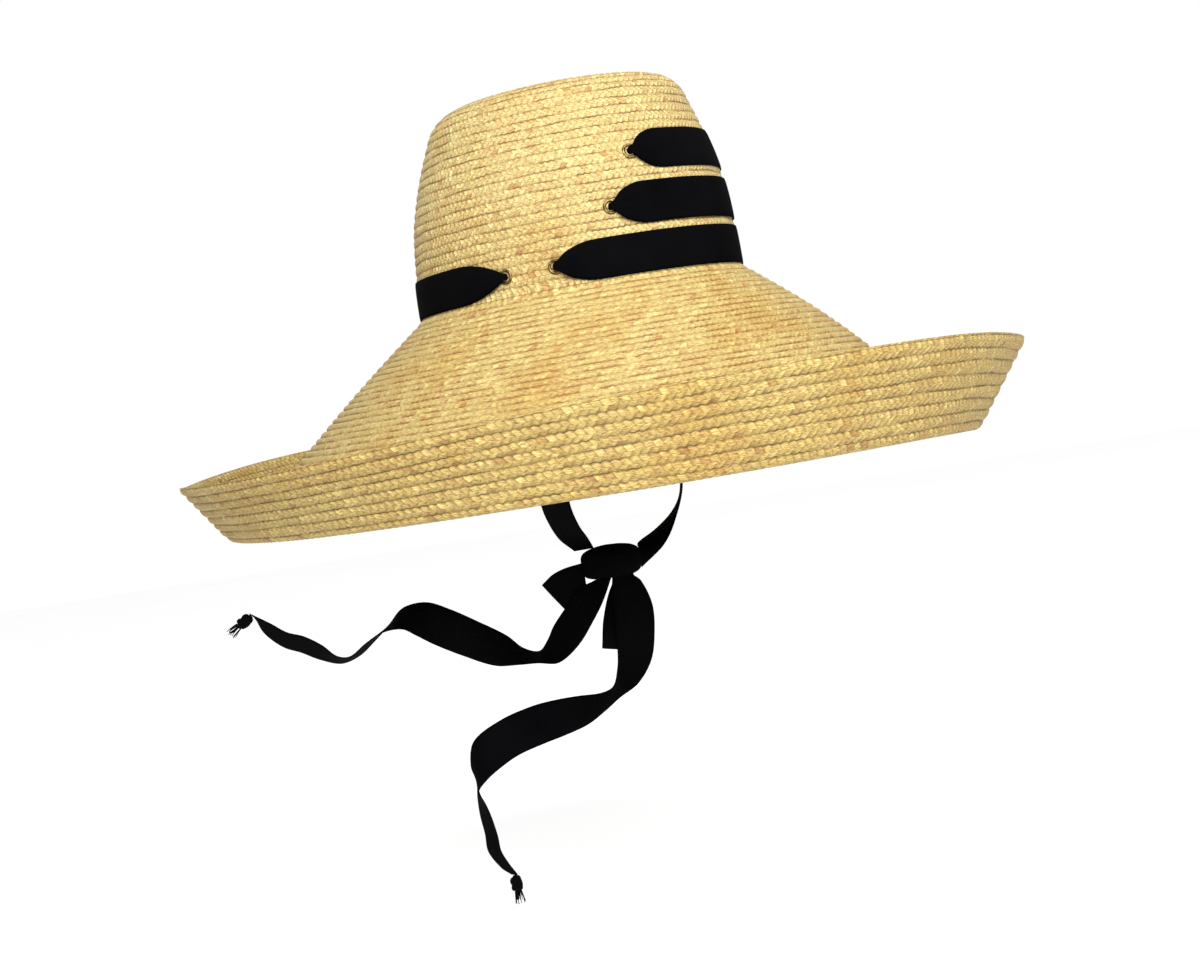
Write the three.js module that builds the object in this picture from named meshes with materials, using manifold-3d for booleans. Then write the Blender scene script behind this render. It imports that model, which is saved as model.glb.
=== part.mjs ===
// A wide-brimmed straw sun hat with a tall tapered crown and a turned-up brim edge.
// A black ribbon runs round the crown, gathered into small brass eyelets, and its ends
// hang as chin ties, tied in a bow with two long knotted tails.
// Millimetres, +Z up along the crown's axis, front towards -Y, the wearer's left is +X.
// The origin is the centre of the head opening, where the crown meets the brim.
import * as THREE from 'three'
import Module from 'manifold-3d'
import { mergeVertices } from 'three/addons/utils/BufferGeometryUtils.js'

// Clearances and walls
const gap = 0.3
const strawWall = 2
const ribbonLift = 0.4

// Crown
const crownHalfLength = 99.6
const crownHalfWidth = 83
const crownHeight = 123.5
const shoulderRadius = 22
const tipDome = 3.5
const crownLean = 4.2
const tipSizeShare = 0.63
const wallLeanShare = 0.36

// Brim, measured outwards and down from the crown's base
const coneReach = 130
const coneBulge = 4
const foldDrop = 117
const foldRadius = 11
const rimReach = 153.5
const rimDrop = 70

// Ribbon
const ribbonWidth = 24
const ribbonThick = 1
const ribbonCrown = 0.15
const bandAboveBrim = 0.6
const lowBandGap = 3.4
const topBandGap = 6
const lowBandSpread = 0.95
const lowRowHeight = bandAboveBrim + 0.5 * lowBandSpread * ribbonWidth
const laceEndWidth = 0.34
const laceSpread = 0.3

// Eyelets
const eyeletHoleRadius = 2.75
const eyeletBarrel = 0.5
const eyeletFlangeRadius = 4.5
const eyeletFlangeThick = 0.7

// Bow, seen from the hat's left side and a little behind
const bowFacing = 108
const knotDrop = 163
const knotAcross = -9.5
const knotWidth = 34
const knotHeight = 18
const knotDepth = 15
const tieBulge = 33
const frontLoopLength = 24
const backLoopLength = 46
const frontLoopSwing = -56
const backLoopSwing = -12
const frontTailReach = 228
const longTailDrop = 170
const tailKnotLength = 11
const tailKnotWidth = 8
const fringeLength = 8

// Facets
const turnSteps = 60
const bandStepDegrees = 6
const wallSteps = 7
const arcSteps = 4
const laceSteps = 5
const tailKnotSides = 10
const eyeletSides = 12

const straw = new THREE.MeshStandardMaterial({ color: '#e3c784', roughness: 0.75, metalness: 0 })
const ribbon = new THREE.MeshStandardMaterial({ color: '#0d0d10', roughness: 0.6, metalness: 0 })
const brass = new THREE.MeshStandardMaterial({ color: '#8a7442', roughness: 0.4, metalness: 1 })

// Crown wall from the base to the start of the shoulder.
// at: share of the wall's height; size: share of the base oval.
const wallSections = [
  { at: 0.0, size: 1.0 },
  { at: 0.27, size: 0.99 },
  { at: 0.51, size: 0.965 },
  { at: 0.68, size: 0.925 },
  { at: 0.86, size: 0.866 },
  { at: 1.0, size: 0.81 },
]

// The brim's waves. at: degrees round the hat from the front, towards the wearer's left;
// cone: share of coneReach; bulge: of coneBulge; fold: of foldDrop; reach: of rimReach;
// rim: of rimDrop.
const brimWaves = [
  { at: 18, cone: 1.015, bulge: 1.0, fold: 0.963, reach: 1.033, rim: 1.06 },
  { at: 63, cone: 1.0, bulge: 1.0, fold: 0.994, reach: 1.012, rim: 1.08 },
  { at: 108, cone: 0.99, bulge: 1.2, fold: 1.008, reach: 1.0, rim: 0.96 },
  { at: 153, cone: 0.94, bulge: 1.8, fold: 1.024, reach: 1.0, rim: 0.93 },
  { at: 198, cone: 0.895, bulge: 2.4, fold: 1.054, reach: 1.0, rim: 1.06 },
  { at: 243, cone: 0.94, bulge: 1.8, fold: 1.035, reach: 1.0, rim: 1.09 },
  { at: 288, cone: 1.0, bulge: 1.2, fold: 1.0, reach: 1.01, rim: 0.97 },
  { at: 333, cone: 1.01, bulge: 1.0, fold: 0.96, reach: 1.028, rim: 0.89 },
  { at: 378, cone: 1.015, bulge: 1.0, fold: 0.963, reach: 1.033, rim: 1.06 },
]

// Eyelet rows. turn: degrees round the hat; gather: length over which the ribbon spreads;
// spread: share of ribbonWidth that shows once it has.
const eyeletRows = {
  front: { turn: 80.6, height: lowRowHeight, gather: 30, spread: lowBandSpread },
  low: { turn: 98.5, height: lowRowHeight, gather: 22, spread: lowBandSpread },
  mid: { turn: 120, height: bandAboveBrim + 1.5 * ribbonWidth + lowBandGap, gather: 20, spread: 1 },
  top: { turn: 131, height: bandAboveBrim + 2.5 * ribbonWidth + lowBandGap + topBandGap, gather: 20, spread: 1 },
}

// The ribbon's spread from an eyelet to its full width.
// at: share of the gather; width: share of ribbonWidth; thick: shares of ribbonThick;
// lift: how much of the eyelet flange's height it still rides on.
const gatherSections = [
  { at: 0.25, width: 0.58, thick: 1.8, lift: 1.0 },
  { at: 0.48, width: 0.82, thick: 1.4, lift: 0.35 },
  { at: 0.75, width: 0.97, thick: 1.1, lift: 0.05 },
  { at: 1.0, width: 1.0, thick: 1.0, lift: 0.0 },
]

// Chin ties. at: share of the way down from the eyelet to the knot; out: share of the
// sideways distance still left to the knot; bulge: share of tieBulge; width: share of
// ribbonWidth; turn: degrees from facing outwards.
const leftTieSections = [
  { at: 0.0, out: 1.0, bulge: 0.0, width: 0.3, turn: 0 },
  { at: 0.05, out: 1.0, bulge: 0.0, width: 0.5, turn: 0 },
  { at: 0.14, out: 0.995, bulge: 0.0, width: 0.95, turn: 0 },
  { at: 0.3, out: 0.96, bulge: 0.0, width: 1.0, turn: 2 },
  { at: 0.5, out: 0.87, bulge: -0.04, width: 1.0, turn: 4 },
  { at: 0.68, out: 0.7, bulge: -0.09, width: 1.0, turn: 8 },
  { at: 0.8, out: 0.5, bulge: -0.14, width: 1.0, turn: 12 },
  { at: 0.88, out: 0.32, bulge: -0.15, width: 1.0, turn: 10 },
  { at: 0.95, out: 0.13, bulge: -0.1, width: 0.85, turn: 5 },
  { at: 1.0, out: 0.0, bulge: 0.0, width: 0.5, turn: 0 },
]
const rightTieSections = [
  { at: 0.0, out: 1.0, bulge: 0.0, width: 0.3, turn: 0 },
  { at: 0.05, out: 1.0, bulge: 0.01, width: 0.5, turn: 0 },
  { at: 0.14, out: 0.99, bulge: 0.06, width: 0.95, turn: 0 },
  { at: 0.3, out: 0.94, bulge: 0.3, width: 1.0, turn: 12 },
  { at: 0.46, out: 0.85, bulge: 0.62, width: 1.0, turn: 30 },
  { at: 0.6, out: 0.72, bulge: 0.88, width: 1.0, turn: 64 },
  { at: 0.72, out: 0.58, bulge: 1.02, width: 1.0, turn: 78 },
  { at: 0.82, out: 0.42, bulge: 0.94, width: 1.0, turn: 80 },
  { at: 0.9, out: 0.25, bulge: 0.6, width: 1.0, turn: 68 },
  { at: 0.96, out: 0.1, bulge: 0.25, width: 0.85, turn: 44 },
  { at: 1.0, out: 0.0, bulge: 0.0, width: 0.5, turn: 20 },
]

// Tails, seen facing the bow from the knot's lower face. right and up: shares of the
// tail's named length; toward: share of ribbonWidth; width: share of ribbonWidth;
// turn: degrees from facing the viewer.
const frontTailSections = [
  { right: 0.014, up: 0.0, toward: -0.09, width: 0.42, turn: 0 },
  { right: -0.025, up: -0.035, toward: 0.2, width: 0.75, turn: 30 },
  { right: -0.06, up: -0.075, toward: 0.3, width: 0.95, turn: 40 },
  { right: -0.108, up: -0.128, toward: 0.35, width: 1.0, turn: 41 },
  { right: -0.15, up: -0.165, toward: 0.32, width: 1.0, turn: 57 },
  { right: -0.19, up: -0.173, toward: 0.3, width: 1.0, turn: 80 },
  { right: -0.235, up: -0.163, toward: 0.3, width: 1.0, turn: 72 },
  { right: -0.285, up: -0.139, toward: 0.3, width: 1.0, turn: 44 },
  { right: -0.36, up: -0.094, toward: 0.28, width: 1.0, turn: 28 },
  { right: -0.43, up: -0.05, toward: 0.26, width: 1.0, turn: 22 },
  { right: -0.482, up: -0.02, toward: 0.22, width: 1.0, turn: 38 },
  { right: -0.53, up: -0.012, toward: 0.18, width: 1.0, turn: 64 },
  { right: -0.578, up: -0.032, toward: 0.15, width: 1.0, turn: 88 },
  { right: -0.625, up: -0.06, toward: 0.12, width: 1.0, turn: 96 },
  { right: -0.672, up: -0.09, toward: 0.1, width: 1.0, turn: 98 },
  { right: -0.715, up: -0.093, toward: 0.08, width: 0.95, turn: 108 },
  { right: -0.76, up: -0.066, toward: 0.06, width: 0.9, turn: 122 },
  { right: -0.805, up: -0.037, toward: 0.04, width: 0.75, turn: 131 },
  { right: -0.85, up: -0.016, toward: 0.02, width: 0.62, turn: 136 },
  { right: -0.892, up: 0.022, toward: 0.0, width: 0.48, turn: 136 },
  { right: -0.926, up: 0.062, toward: 0.0, width: 0.28, turn: 132 },
]
const longTailSections = [
  { right: 0.0, up: 0.0, toward: -0.09, width: 0.5, turn: 0 },
  { right: 0.01, up: -0.04, toward: 0.04, width: 0.8, turn: 4 },
  { right: 0.02, up: -0.12, toward: 0.08, width: 1.0, turn: 8 },
  { right: 0.012, up: -0.21, toward: 0.12, width: 1.0, turn: 14 },
  { right: -0.005, up: -0.29, toward: 0.16, width: 1.0, turn: 32 },
  { right: -0.04, up: -0.355, toward: 0.18, width: 1.0, turn: 55 },
  { right: -0.09, up: -0.405, toward: 0.18, width: 1.0, turn: 78 },
  { right: -0.14, up: -0.43, toward: 0.18, width: 1.0, turn: 72 },
  { right: -0.215, up: -0.449, toward: 0.17, width: 1.0, turn: 50 },
  { right: -0.3, up: -0.461, toward: 0.16, width: 1.0, turn: 32 },
  { right: -0.385, up: -0.474, toward: 0.14, width: 1.0, turn: 14 },
  { right: -0.495, up: -0.503, toward: 0.12, width: 1.0, turn: 6 },
  { right: -0.585, up: -0.55, toward: 0.1, width: 1.0, turn: 22 },
  { right: -0.625, up: -0.61, toward: 0.06, width: 1.0, turn: 60 },
  { right: -0.638, up: -0.66, toward: 0.03, width: 1.0, turn: 84 },
  { right: -0.634, up: -0.71, toward: 0.0, width: 0.95, turn: 75 },
  { right: -0.628, up: -0.77, toward: 0.0, width: 0.85, turn: 66 },
  { right: -0.62, up: -0.84, toward: 0.0, width: 0.78, turn: 62 },
  { right: -0.618, up: -0.9, toward: 0.0, width: 0.7, turn: 57 },
  { right: -0.59, up: -0.958, toward: 0.0, width: 0.45, turn: 52 },
  { right: -0.562, up: -0.995, toward: 0.0, width: 0.25, turn: 48 },
]

// Where each tail leaves the knot, as shares of knotWidth and knotDepth, and the way its
// end knot hangs, as steps to the right and up.
const tails = {
  front: {
    sections: frontTailSections,
    length: frontTailReach,
    fromRight: -0.28,
    fromToward: 0.35,
    endRight: -0.87,
    endUp: -0.5,
  },
  long: {
    sections: longTailSections,
    length: longTailDrop,
    fromRight: 0.15,
    fromToward: 0.3,
    endRight: 0.05,
    endUp: -1,
  },
}

// Loops are one hairpin each. along: share of the loop's length from the knot;
// toward: share of ribbonWidth in front of or behind the loop's middle; width: of ribbonWidth.
const loopSections = [
  { along: 0.0, toward: 0.1, width: 0.45 },
  { along: 0.3, toward: 0.15, width: 0.8 },
  { along: 0.65, toward: 0.15, width: 1.0 },
  { along: 0.92, toward: 0.11, width: 1.0 },
  { along: 1.0, toward: 0.0, width: 1.0 },
  { along: 0.92, toward: -0.11, width: 1.0 },
  { along: 0.65, toward: -0.15, width: 1.0 },
  { along: 0.3, toward: -0.15, width: 0.8 },
  { along: 0.0, toward: -0.1, width: 0.45 },
]

const vector = (x, y, z) => new THREE.Vector3(x, y, z)
const degrees = THREE.MathUtils.degToRad

// Reads a column of a table at any place between its rows, on a smooth curve.
function readTable(rows, column, at) {
  let k = 0
  while (k < rows.length - 2 && at > rows[k + 1].at) k += 1
  const slope = (i) => {
    const low = rows[Math.max(i - 1, 0)]
    const high = rows[Math.min(i + 1, rows.length - 1)]
    return (high[column] - low[column]) / (high.at - low.at)
  }
  const span = rows[k + 1].at - rows[k].at
  const s = (at - rows[k].at) / span
  const start = rows[k][column]
  const end = rows[k + 1][column]
  const hermite = (2 * s ** 3 - 3 * s ** 2 + 1) * start + (3 * s ** 2 - 2 * s ** 3) * end
  return hermite + ((s ** 3 - 2 * s ** 2 + s) * slope(k) + (s ** 3 - s ** 2) * slope(k + 1)) * span
}

// A closed solid through rings of points, each ring in the same order, with flat ends.
// Both sides of a twisted ribbon are cut along the same diagonals, so they never cross.
function solidThroughRings(rings) {
  const size = rings[0].length
  const positions = rings.flat().flatMap((p) => [p.x, p.y, p.z])
  const faces = []
  for (let i = 0; i < rings.length - 1; i += 1) {
    for (let j = 0; j < size; j += 1) {
      const a = i * size + j
      const b = i * size + ((j + 1) % size)
      if (j < size / 2) faces.push(a, b, b + size, a, b + size, a + size)
      else faces.push(a, b, a + size, b, b + size, a + size)
    }
  }
  const last = (rings.length - 1) * size
  for (let j = 1; j < size - 1; j += 1) {
    faces.push(0, j + 1, j)
    faces.push(last, last + j, last + j + 1)
  }
  return facedOutwards(positions, faces)
}

// Turns every face round if the closed solid came out inside out.
function facedOutwards(positions, faces) {
  let volume = 0
  const corner = (i) => vector(positions[3 * i], positions[3 * i + 1], positions[3 * i + 2])
  for (let i = 0; i < faces.length; i += 3) {
    volume += corner(faces[i]).dot(corner(faces[i + 1]).cross(corner(faces[i + 2])))
  }
  if (volume < 0) faces.reverse()
  const geometry = new THREE.BufferGeometry()
  geometry.setAttribute('position', new THREE.Float32BufferAttribute(positions, 3))
  geometry.setIndex(faces)
  geometry.computeVertexNormals()
  return geometry
}

// Crown outline: height and oval size at points from the base to the tip's edge.
const domeSlope = Math.atan(2 * tipDome / (crownHalfLength * tipSizeShare))
const wallTopSlope = Math.atan(crownHalfLength * wallLeanShare / crownHeight)
const arcStart = wallTopSlope
const arcEnd = Math.PI / 2 - domeSlope
const wallHeight = crownHeight - tipDome - shoulderRadius * (Math.sin(arcEnd) - Math.sin(arcStart))

function wallSize(height) {
  return readTable(wallSections, 'size', height / wallHeight)
}

function crownOutline() {
  const points = []
  for (let i = 0; i <= wallSteps; i += 1) {
    const height = wallHeight * i / wallSteps
    points.push({ radius: crownHalfLength * wallSize(height), height })
  }
  const wallEnd = points[wallSteps]
  for (let i = 1; i <= arcSteps; i += 1) {
    const angle = arcStart + (arcEnd - arcStart) * i / arcSteps
    points.push({
      radius: wallEnd.radius + shoulderRadius * (Math.cos(angle) - Math.cos(arcStart)),
      height: wallEnd.height + shoulderRadius * (Math.sin(angle) - Math.sin(arcStart)),
    })
  }
  const tipEdge = points[points.length - 1]
  for (const share of [0.66, 0.33]) {
    points.push({
      radius: tipEdge.radius * share,
      height: tipEdge.height + tipDome * (1 - share ** 2),
    })
  }
  return points
}

function crownPoint(turn, radius, height) {
  const width = radius * crownHalfWidth / crownHalfLength
  return vector(
    width * Math.sin(turn),
    -radius * Math.cos(turn) + crownLean * (height / crownHeight) ** 2,
    height,
  )
}

// A point of the crown's outer wall, with the directions away from it, round it and up it.
function wallFrame(turn, height) {
  const at = (t, h) => crownPoint(t, crownHalfLength * wallSize(h), h)
  const step = 0.01
  const point = at(turn, height)
  const round = at(turn + step, height).sub(at(turn - step, height)).normalize()
  const up = at(turn, height + 1).sub(at(turn, height - 1)).normalize()
  const out = round.clone().cross(up).normalize()
  return { point, round, up, out }
}

// An open cup as one solid: an outer skin, the same skin moved in by the wall, and its rim.
function makeCrown() {
  const outline = crownOutline()
  const rows = outline.length
  const skin = (inwards) => {
    const points = []
    for (let i = 0; i < rows; i += 1) {
      for (let j = 0; j < turnSteps; j += 1) {
        const turn = 2 * Math.PI * j / turnSteps
        const point = crownPoint(turn, outline[i].radius, outline[i].height)
        points.push(point.addScaledVector(outlineNormal(outline, i, turn), -inwards))
      }
    }
    const tip = crownPoint(0, 0, crownHeight - inwards)
    return [...points, tip]
  }
  const outer = skin(0)
  const inner = skin(strawWall)
  for (let j = 0; j < turnSteps; j += 1) inner[j].z = 0
  const offset = outer.length
  const faces = []
  for (let j = 0; j < turnSteps; j += 1) {
    const next = (j + 1) % turnSteps
    for (let i = 0; i < rows - 1; i += 1) {
      const a = i * turnSteps + j
      const b = i * turnSteps + next
      faces.push(a, b, b + turnSteps, a, b + turnSteps, a + turnSteps)
      faces.push(offset + a, offset + b + turnSteps, offset + b, offset + a)
      faces.push(offset + a + turnSteps, offset + b + turnSteps)
    }
    const a = (rows - 1) * turnSteps + j
    const b = (rows - 1) * turnSteps + next
    faces.push(a, b, offset - 1)
    faces.push(offset + a, 2 * offset - 1, offset + b)
    faces.push(j, offset + j, next, next, offset + j, offset + next)
  }
  const positions = [...outer, ...inner].flatMap((p) => [p.x, p.y, p.z])
  return facedOutwards(positions, faces)
}

function outlineNormal(outline, i, turn) {
  const low = outline[Math.max(i - 1, 0)]
  const high = outline[Math.min(i + 1, outline.length - 1)]
  const step = 0.01
  const here = outline[i]
  const round = crownPoint(turn + step, here.radius, here.height)
    .sub(crownPoint(turn - step, here.radius, here.height))
  const up = crownPoint(turn, high.radius, high.height).sub(crownPoint(turn, low.radius, low.height))
  return round.cross(up).normalize()
}

// Joining and cutting closed solids
const wasm = await Module()
wasm.setup()

function toSolid(geometry) {
  const bare = geometry.clone()
  bare.deleteAttribute('normal')
  bare.deleteAttribute('uv')
  const merged = mergeVertices(bare, 1e-5)
  return new wasm.Manifold(new wasm.Mesh({
    numProp: 3,
    vertProperties: new Float32Array(merged.attributes.position.array),
    triVerts: new Uint32Array(merged.index.array),
  }))
}

function fromSolid(solid) {
  const mesh = solid.getMesh()
  const geometry = new THREE.BufferGeometry()
  geometry.setAttribute('position', new THREE.BufferAttribute(new Float32Array(mesh.vertProperties), 3))
  geometry.setIndex(new THREE.BufferAttribute(new Uint32Array(mesh.triVerts), 1))
  geometry.computeVertexNormals()
  return geometry
}

// Brim: a straight cone, a rounded fold and a turned-up edge, from the crown's base outwards.
function brimSkin(turn) {
  const firstWave = brimWaves[0].at
  const at = THREE.MathUtils.euclideanModulo(THREE.MathUtils.radToDeg(turn) - firstWave, 360) + firstWave
  const cornerReach = coneReach * readTable(brimWaves, 'cone', at)
  const cornerHeight = -foldDrop * readTable(brimWaves, 'fold', at)
  const bulge = coneBulge * readTable(brimWaves, 'bulge', at)
  const edgeReach = rimReach * readTable(brimWaves, 'reach', at)
  const edgeHeight = -rimDrop * readTable(brimWaves, 'rim', at)
  const before = 1 - foldRadius / Math.hypot(cornerReach, cornerHeight)
  const after = foldRadius / Math.hypot(edgeReach - cornerReach, edgeHeight - cornerHeight)
  const onCone = (share) => ({
    out: cornerReach * share,
    height: cornerHeight * share + bulge * Math.sin(Math.PI * share),
  })
  const onEdge = (share) => ({
    out: cornerReach + (edgeReach - cornerReach) * share,
    height: cornerHeight + (edgeHeight - cornerHeight) * share,
  })
  const start = onCone(before)
  const corner = onCone(1)
  const end = onEdge(after)
  const fold = [0.25, 0.5, 0.75].map((s) => ({
    out: start.out * (1 - s) ** 2 + corner.out * 2 * s * (1 - s) + end.out * s ** 2,
    height: start.height * (1 - s) ** 2 + corner.height * 2 * s * (1 - s) + end.height * s ** 2,
  }))
  const first = { out: gap * cornerReach / Math.abs(cornerHeight), height: -gap }
  const cone = [0.12, 0.36, 0.62].map(onCone)
  return [first, ...cone, start, ...fold, end, onEdge((1 + after) / 2), onEdge(1)]
}

function brimPoint(turn, place) {
  return vector(
    (crownHalfWidth + place.out) * Math.sin(turn),
    -(crownHalfLength + place.out) * Math.cos(turn),
    place.height,
  )
}

function makeBrim() {
  const columns = []
  for (let j = 0; j < turnSteps; j += 1) {
    const turn = 2 * Math.PI * j / turnSteps
    const places = brimSkin(turn)
    const top = places.map((place) => brimPoint(turn, place))
    const under = places.map((place, i) => {
      const low = places[Math.max(i - 1, 0)]
      const high = places[Math.min(i + 1, places.length - 1)]
      const along = Math.hypot(high.out - low.out, high.height - low.height)
      return brimPoint(turn, {
        out: place.out + strawWall * (high.height - low.height) / along,
        height: place.height - strawWall * (high.out - low.out) / along,
      })
    })
    under[0] = brimPoint(turn, { out: places[0].out - strawWall, height: places[0].height })
    columns.push([...top, ...under.reverse()])
  }
  columns.push(columns[0])
  return closedLoop(columns)
}

// A closed solid through rings that run right round and meet the first ring again.
function closedLoop(rings) {
  const size = rings[0].length
  const count = rings.length - 1
  const positions = rings.slice(0, count).flat().flatMap((p) => [p.x, p.y, p.z])
  const faces = []
  for (let i = 0; i < count; i += 1) {
    const next = (i + 1) % count
    for (let j = 0; j < size; j += 1) {
      const k = (j + 1) % size
      faces.push(i * size + j, i * size + k, next * size + k)
      faces.push(i * size + j, next * size + k, next * size + j)
    }
  }
  return facedOutwards(positions, faces)
}

// Eyelets sit on the wall with their bore along its outward direction.
const barrelRadius = eyeletHoleRadius + eyeletBarrel
const eyeletTop = gap + eyeletFlangeThick
const eyeletBottom = -strawWall - gap - eyeletFlangeThick
const neckEnd = eyeletBottom - gap

function eyeletProfile() {
  const rim = eyeletFlangeRadius
  return [
    [eyeletHoleRadius, eyeletBottom + 0.2 * eyeletFlangeThick],
    [0.9 * rim, eyeletBottom],
    [0.9 * rim, -strawWall - gap],
    [barrelRadius, -strawWall - gap],
    [barrelRadius, gap],
    [rim, gap],
    [rim, gap + 0.4 * eyeletFlangeThick],
    [0.82 * rim, eyeletTop],
    [eyeletHoleRadius, gap + 0.6 * eyeletFlangeThick],
    [eyeletHoleRadius, eyeletBottom + 0.2 * eyeletFlangeThick],
  ].map(([radius, along]) => new THREE.Vector2(radius, along))
}

function eyeletFrame(row, side) {
  const frame = wallFrame(degrees(row.turn), row.height)
  if (side < 0) {
    for (const v of [frame.point, frame.round, frame.up, frame.out]) v.x = -v.x
  }
  return frame
}

function makeEyelet(row, side) {
  const mesh = new THREE.Mesh(new THREE.LatheGeometry(eyeletProfile(), eyeletSides), brass)
  const frame = eyeletFrame(row, side)
  mesh.position.copy(frame.point)
  mesh.quaternion.setFromUnitVectors(vector(0, 1, 0), frame.out)
  return mesh
}

function cutEyeletHoles(crown) {
  let solid = toSolid(crown)
  const reach = 3 * strawWall
  const drill = new THREE.CylinderGeometry(barrelRadius + gap, barrelRadius + gap, 2 * reach, eyeletSides)
  for (const row of Object.values(eyeletRows)) {
    for (const side of [1, -1]) {
      const frame = eyeletFrame(row, side)
      const placed = new THREE.Matrix4().compose(
        frame.point,
        new THREE.Quaternion().setFromUnitVectors(vector(0, 1, 0), frame.out),
        vector(1, 1, 1),
      )
      solid = solid.subtract(toSolid(drill.clone().applyMatrix4(placed)))
    }
  }
  return fromSolid(solid)
}

// A flat ribbon section: six points round a strip, from its middle and two directions.
function ribbonRing(centre, across, facing, width, thick) {
  const corners = [[-0.5, -0.4], [0, -0.5], [0.5, -0.4], [0.5, 0.4], [0, 0.5], [-0.5, 0.4]]
  return corners.map(([a, f]) => centre.clone()
    .addScaledVector(across, a * width)
    .addScaledVector(facing, f * thick))
}

// A section lying on the crown's wall, bent to it across the ribbon's width, with its
// middle a little proud of its edges.
function wallRing(turn, height, width, thick, lift) {
  const lean = wallFrame(turn, height).up.z
  const stations = [{ share: -0.5, proud: 0 }, { share: 0, proud: ribbonCrown }, { share: 0.5, proud: 0 }]
  const skin = (level) => stations.map(({ share, proud }) => {
    const frame = wallFrame(turn, height + share * width * lean)
    return frame.point.addScaledVector(frame.out, level + proud)
  })
  return [...skin(lift + thick), ...skin(lift).reverse()]
}

// One half of a band, from inside the left eyelet, out through it and round to the middle.
function halfBand(row, towards) {
  const frame = eyeletFrame(row, 1)
  const along = frame.round.clone().multiplyScalar(towards)
  const neckWidth = 1.38 * eyeletHoleRadius
  const neckThick = 1.09 * eyeletHoleRadius
  const bend = 0.5 * neckThick + gap
  const rings = []
  const neck = (height) => frame.point.clone().addScaledVector(frame.out, height)
  rings.push(ribbonRing(neck(neckEnd), frame.up, along, neckWidth, neckThick))
  rings.push(ribbonRing(neck(eyeletTop), frame.up, along, neckWidth, neckThick))
  const leaning = along.clone().sub(frame.out).normalize()
  rings.push(ribbonRing(
    neck(eyeletTop + bend * Math.SQRT1_2).addScaledVector(along, bend * (1 - Math.SQRT1_2)),
    frame.up,
    leaning,
    1.2 * neckWidth,
    0.85 * neckThick,
  ))
  rings.push(ribbonRing(
    neck(eyeletTop + gap + 0.4 * neckThick).addScaledVector(along, bend),
    frame.up,
    frame.out.clone().negate(),
    1.6 * neckWidth,
    0.7 * neckThick,
  ))
  const speed = wallFrame(degrees(row.turn), row.height)
  const radius = Math.hypot(speed.point.x, speed.point.y)
  const start = degrees(row.turn)
  const fullWidth = row.spread * ribbonWidth
  for (const section of gatherSections) {
    const turn = start + towards * section.at * row.gather / radius
    const lift = ribbonLift + section.lift * (eyeletTop + gap - ribbonLift)
    rings.push(wallRing(turn, row.height, section.width * fullWidth, section.thick * ribbonThick, lift))
  }
  const spread = start + towards * row.gather / radius
  const middle = towards > 0 ? Math.PI : 0
  const steps = Math.max(2, Math.round(Math.abs(middle - spread) / degrees(bandStepDegrees)))
  for (let i = 1; i <= steps; i += 1) {
    const turn = spread + (middle - spread) * i / steps
    rings.push(wallRing(turn, row.height, fullWidth, ribbonThick, ribbonLift))
  }
  return rings
}

function makeBand(row, towards) {
  const left = halfBand(row, towards)
  const mirrored = left.slice(0, -1).map((ring) => ring.map((p) => vector(-p.x, p.y, p.z)))
  return solidThroughRings([...left, ...mirrored.reverse()])
}

// The hidden inner stretch on each side, over the inner ends of the back bands.
function makeLace(side) {
  const stops = [eyeletRows.low, eyeletRows.mid, eyeletRows.top]
  const depth = neckEnd - gap - 0.5 * ribbonThick
  const path = []
  stops.slice(0, -1).forEach((from, k) => {
    const to = stops[k + 1]
    for (let i = k === 0 ? 0 : 1; i <= laceSteps; i += 1) {
      const share = i / laceSteps
      path.push({
        turn: degrees(from.turn + (to.turn - from.turn) * share),
        height: from.height + (to.height - from.height) * share,
        width: ribbonWidth * (laceEndWidth + laceSpread * Math.sin(Math.PI * share)),
      })
    }
  })
  const centres = path.map((p) => {
    const frame = wallFrame(p.turn, p.height)
    return frame.point.addScaledVector(frame.out, depth)
  })
  const overrun = eyeletHoleRadius
  const rings = path.map((p, i) => {
    const before = centres[Math.max(i - 1, 0)]
    const after = centres[Math.min(i + 1, centres.length - 1)]
    const along = after.clone().sub(before).normalize()
    const out = wallFrame(p.turn, p.height).out
    const across = along.clone().cross(out).normalize()
    const centre = centres[i].clone()
    if (i === 0) centre.addScaledVector(along, -overrun)
    if (i === path.length - 1) centre.addScaledVector(along, overrun)
    return ribbonRing(centre, across, across.clone().cross(along), p.width, ribbonThick)
  })
  if (side < 0) rings.forEach((ring) => ring.forEach((p) => { p.x = -p.x }))
  return solidThroughRings(rings)
}

// Bow directions: right and up as seen from the side that the bow faces.
const bowRight = vector(Math.cos(degrees(bowFacing)), Math.sin(degrees(bowFacing)), 0)
const bowToward = vector(Math.sin(degrees(bowFacing)), -Math.cos(degrees(bowFacing)), 0)
const bowLeft = bowRight.clone().negate()
const bowUp = vector(0, 0, 1)
const bowDown = vector(0, 0, -1)
const bowAway = bowToward.clone().negate()
const knotCentre = vector(0, 0, -knotDrop).addScaledVector(bowRight, knotAcross)

function bowPoint(right, up, toward) {
  return knotCentre.clone()
    .addScaledVector(bowRight, right)
    .addScaledVector(bowUp, up)
    .addScaledVector(bowToward, toward)
}

// A rounded block with flat faces, as rings of a rounded oblong from back to front.
const knotSections = [
  { toward: -0.5, inset: 0.26 },
  { toward: -0.4, inset: 0.1 },
  { toward: -0.2, inset: 0.0 },
  { toward: 0.2, inset: 0.0 },
  { toward: 0.4, inset: 0.1 },
  { toward: 0.5, inset: 0.26 },
]

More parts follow.
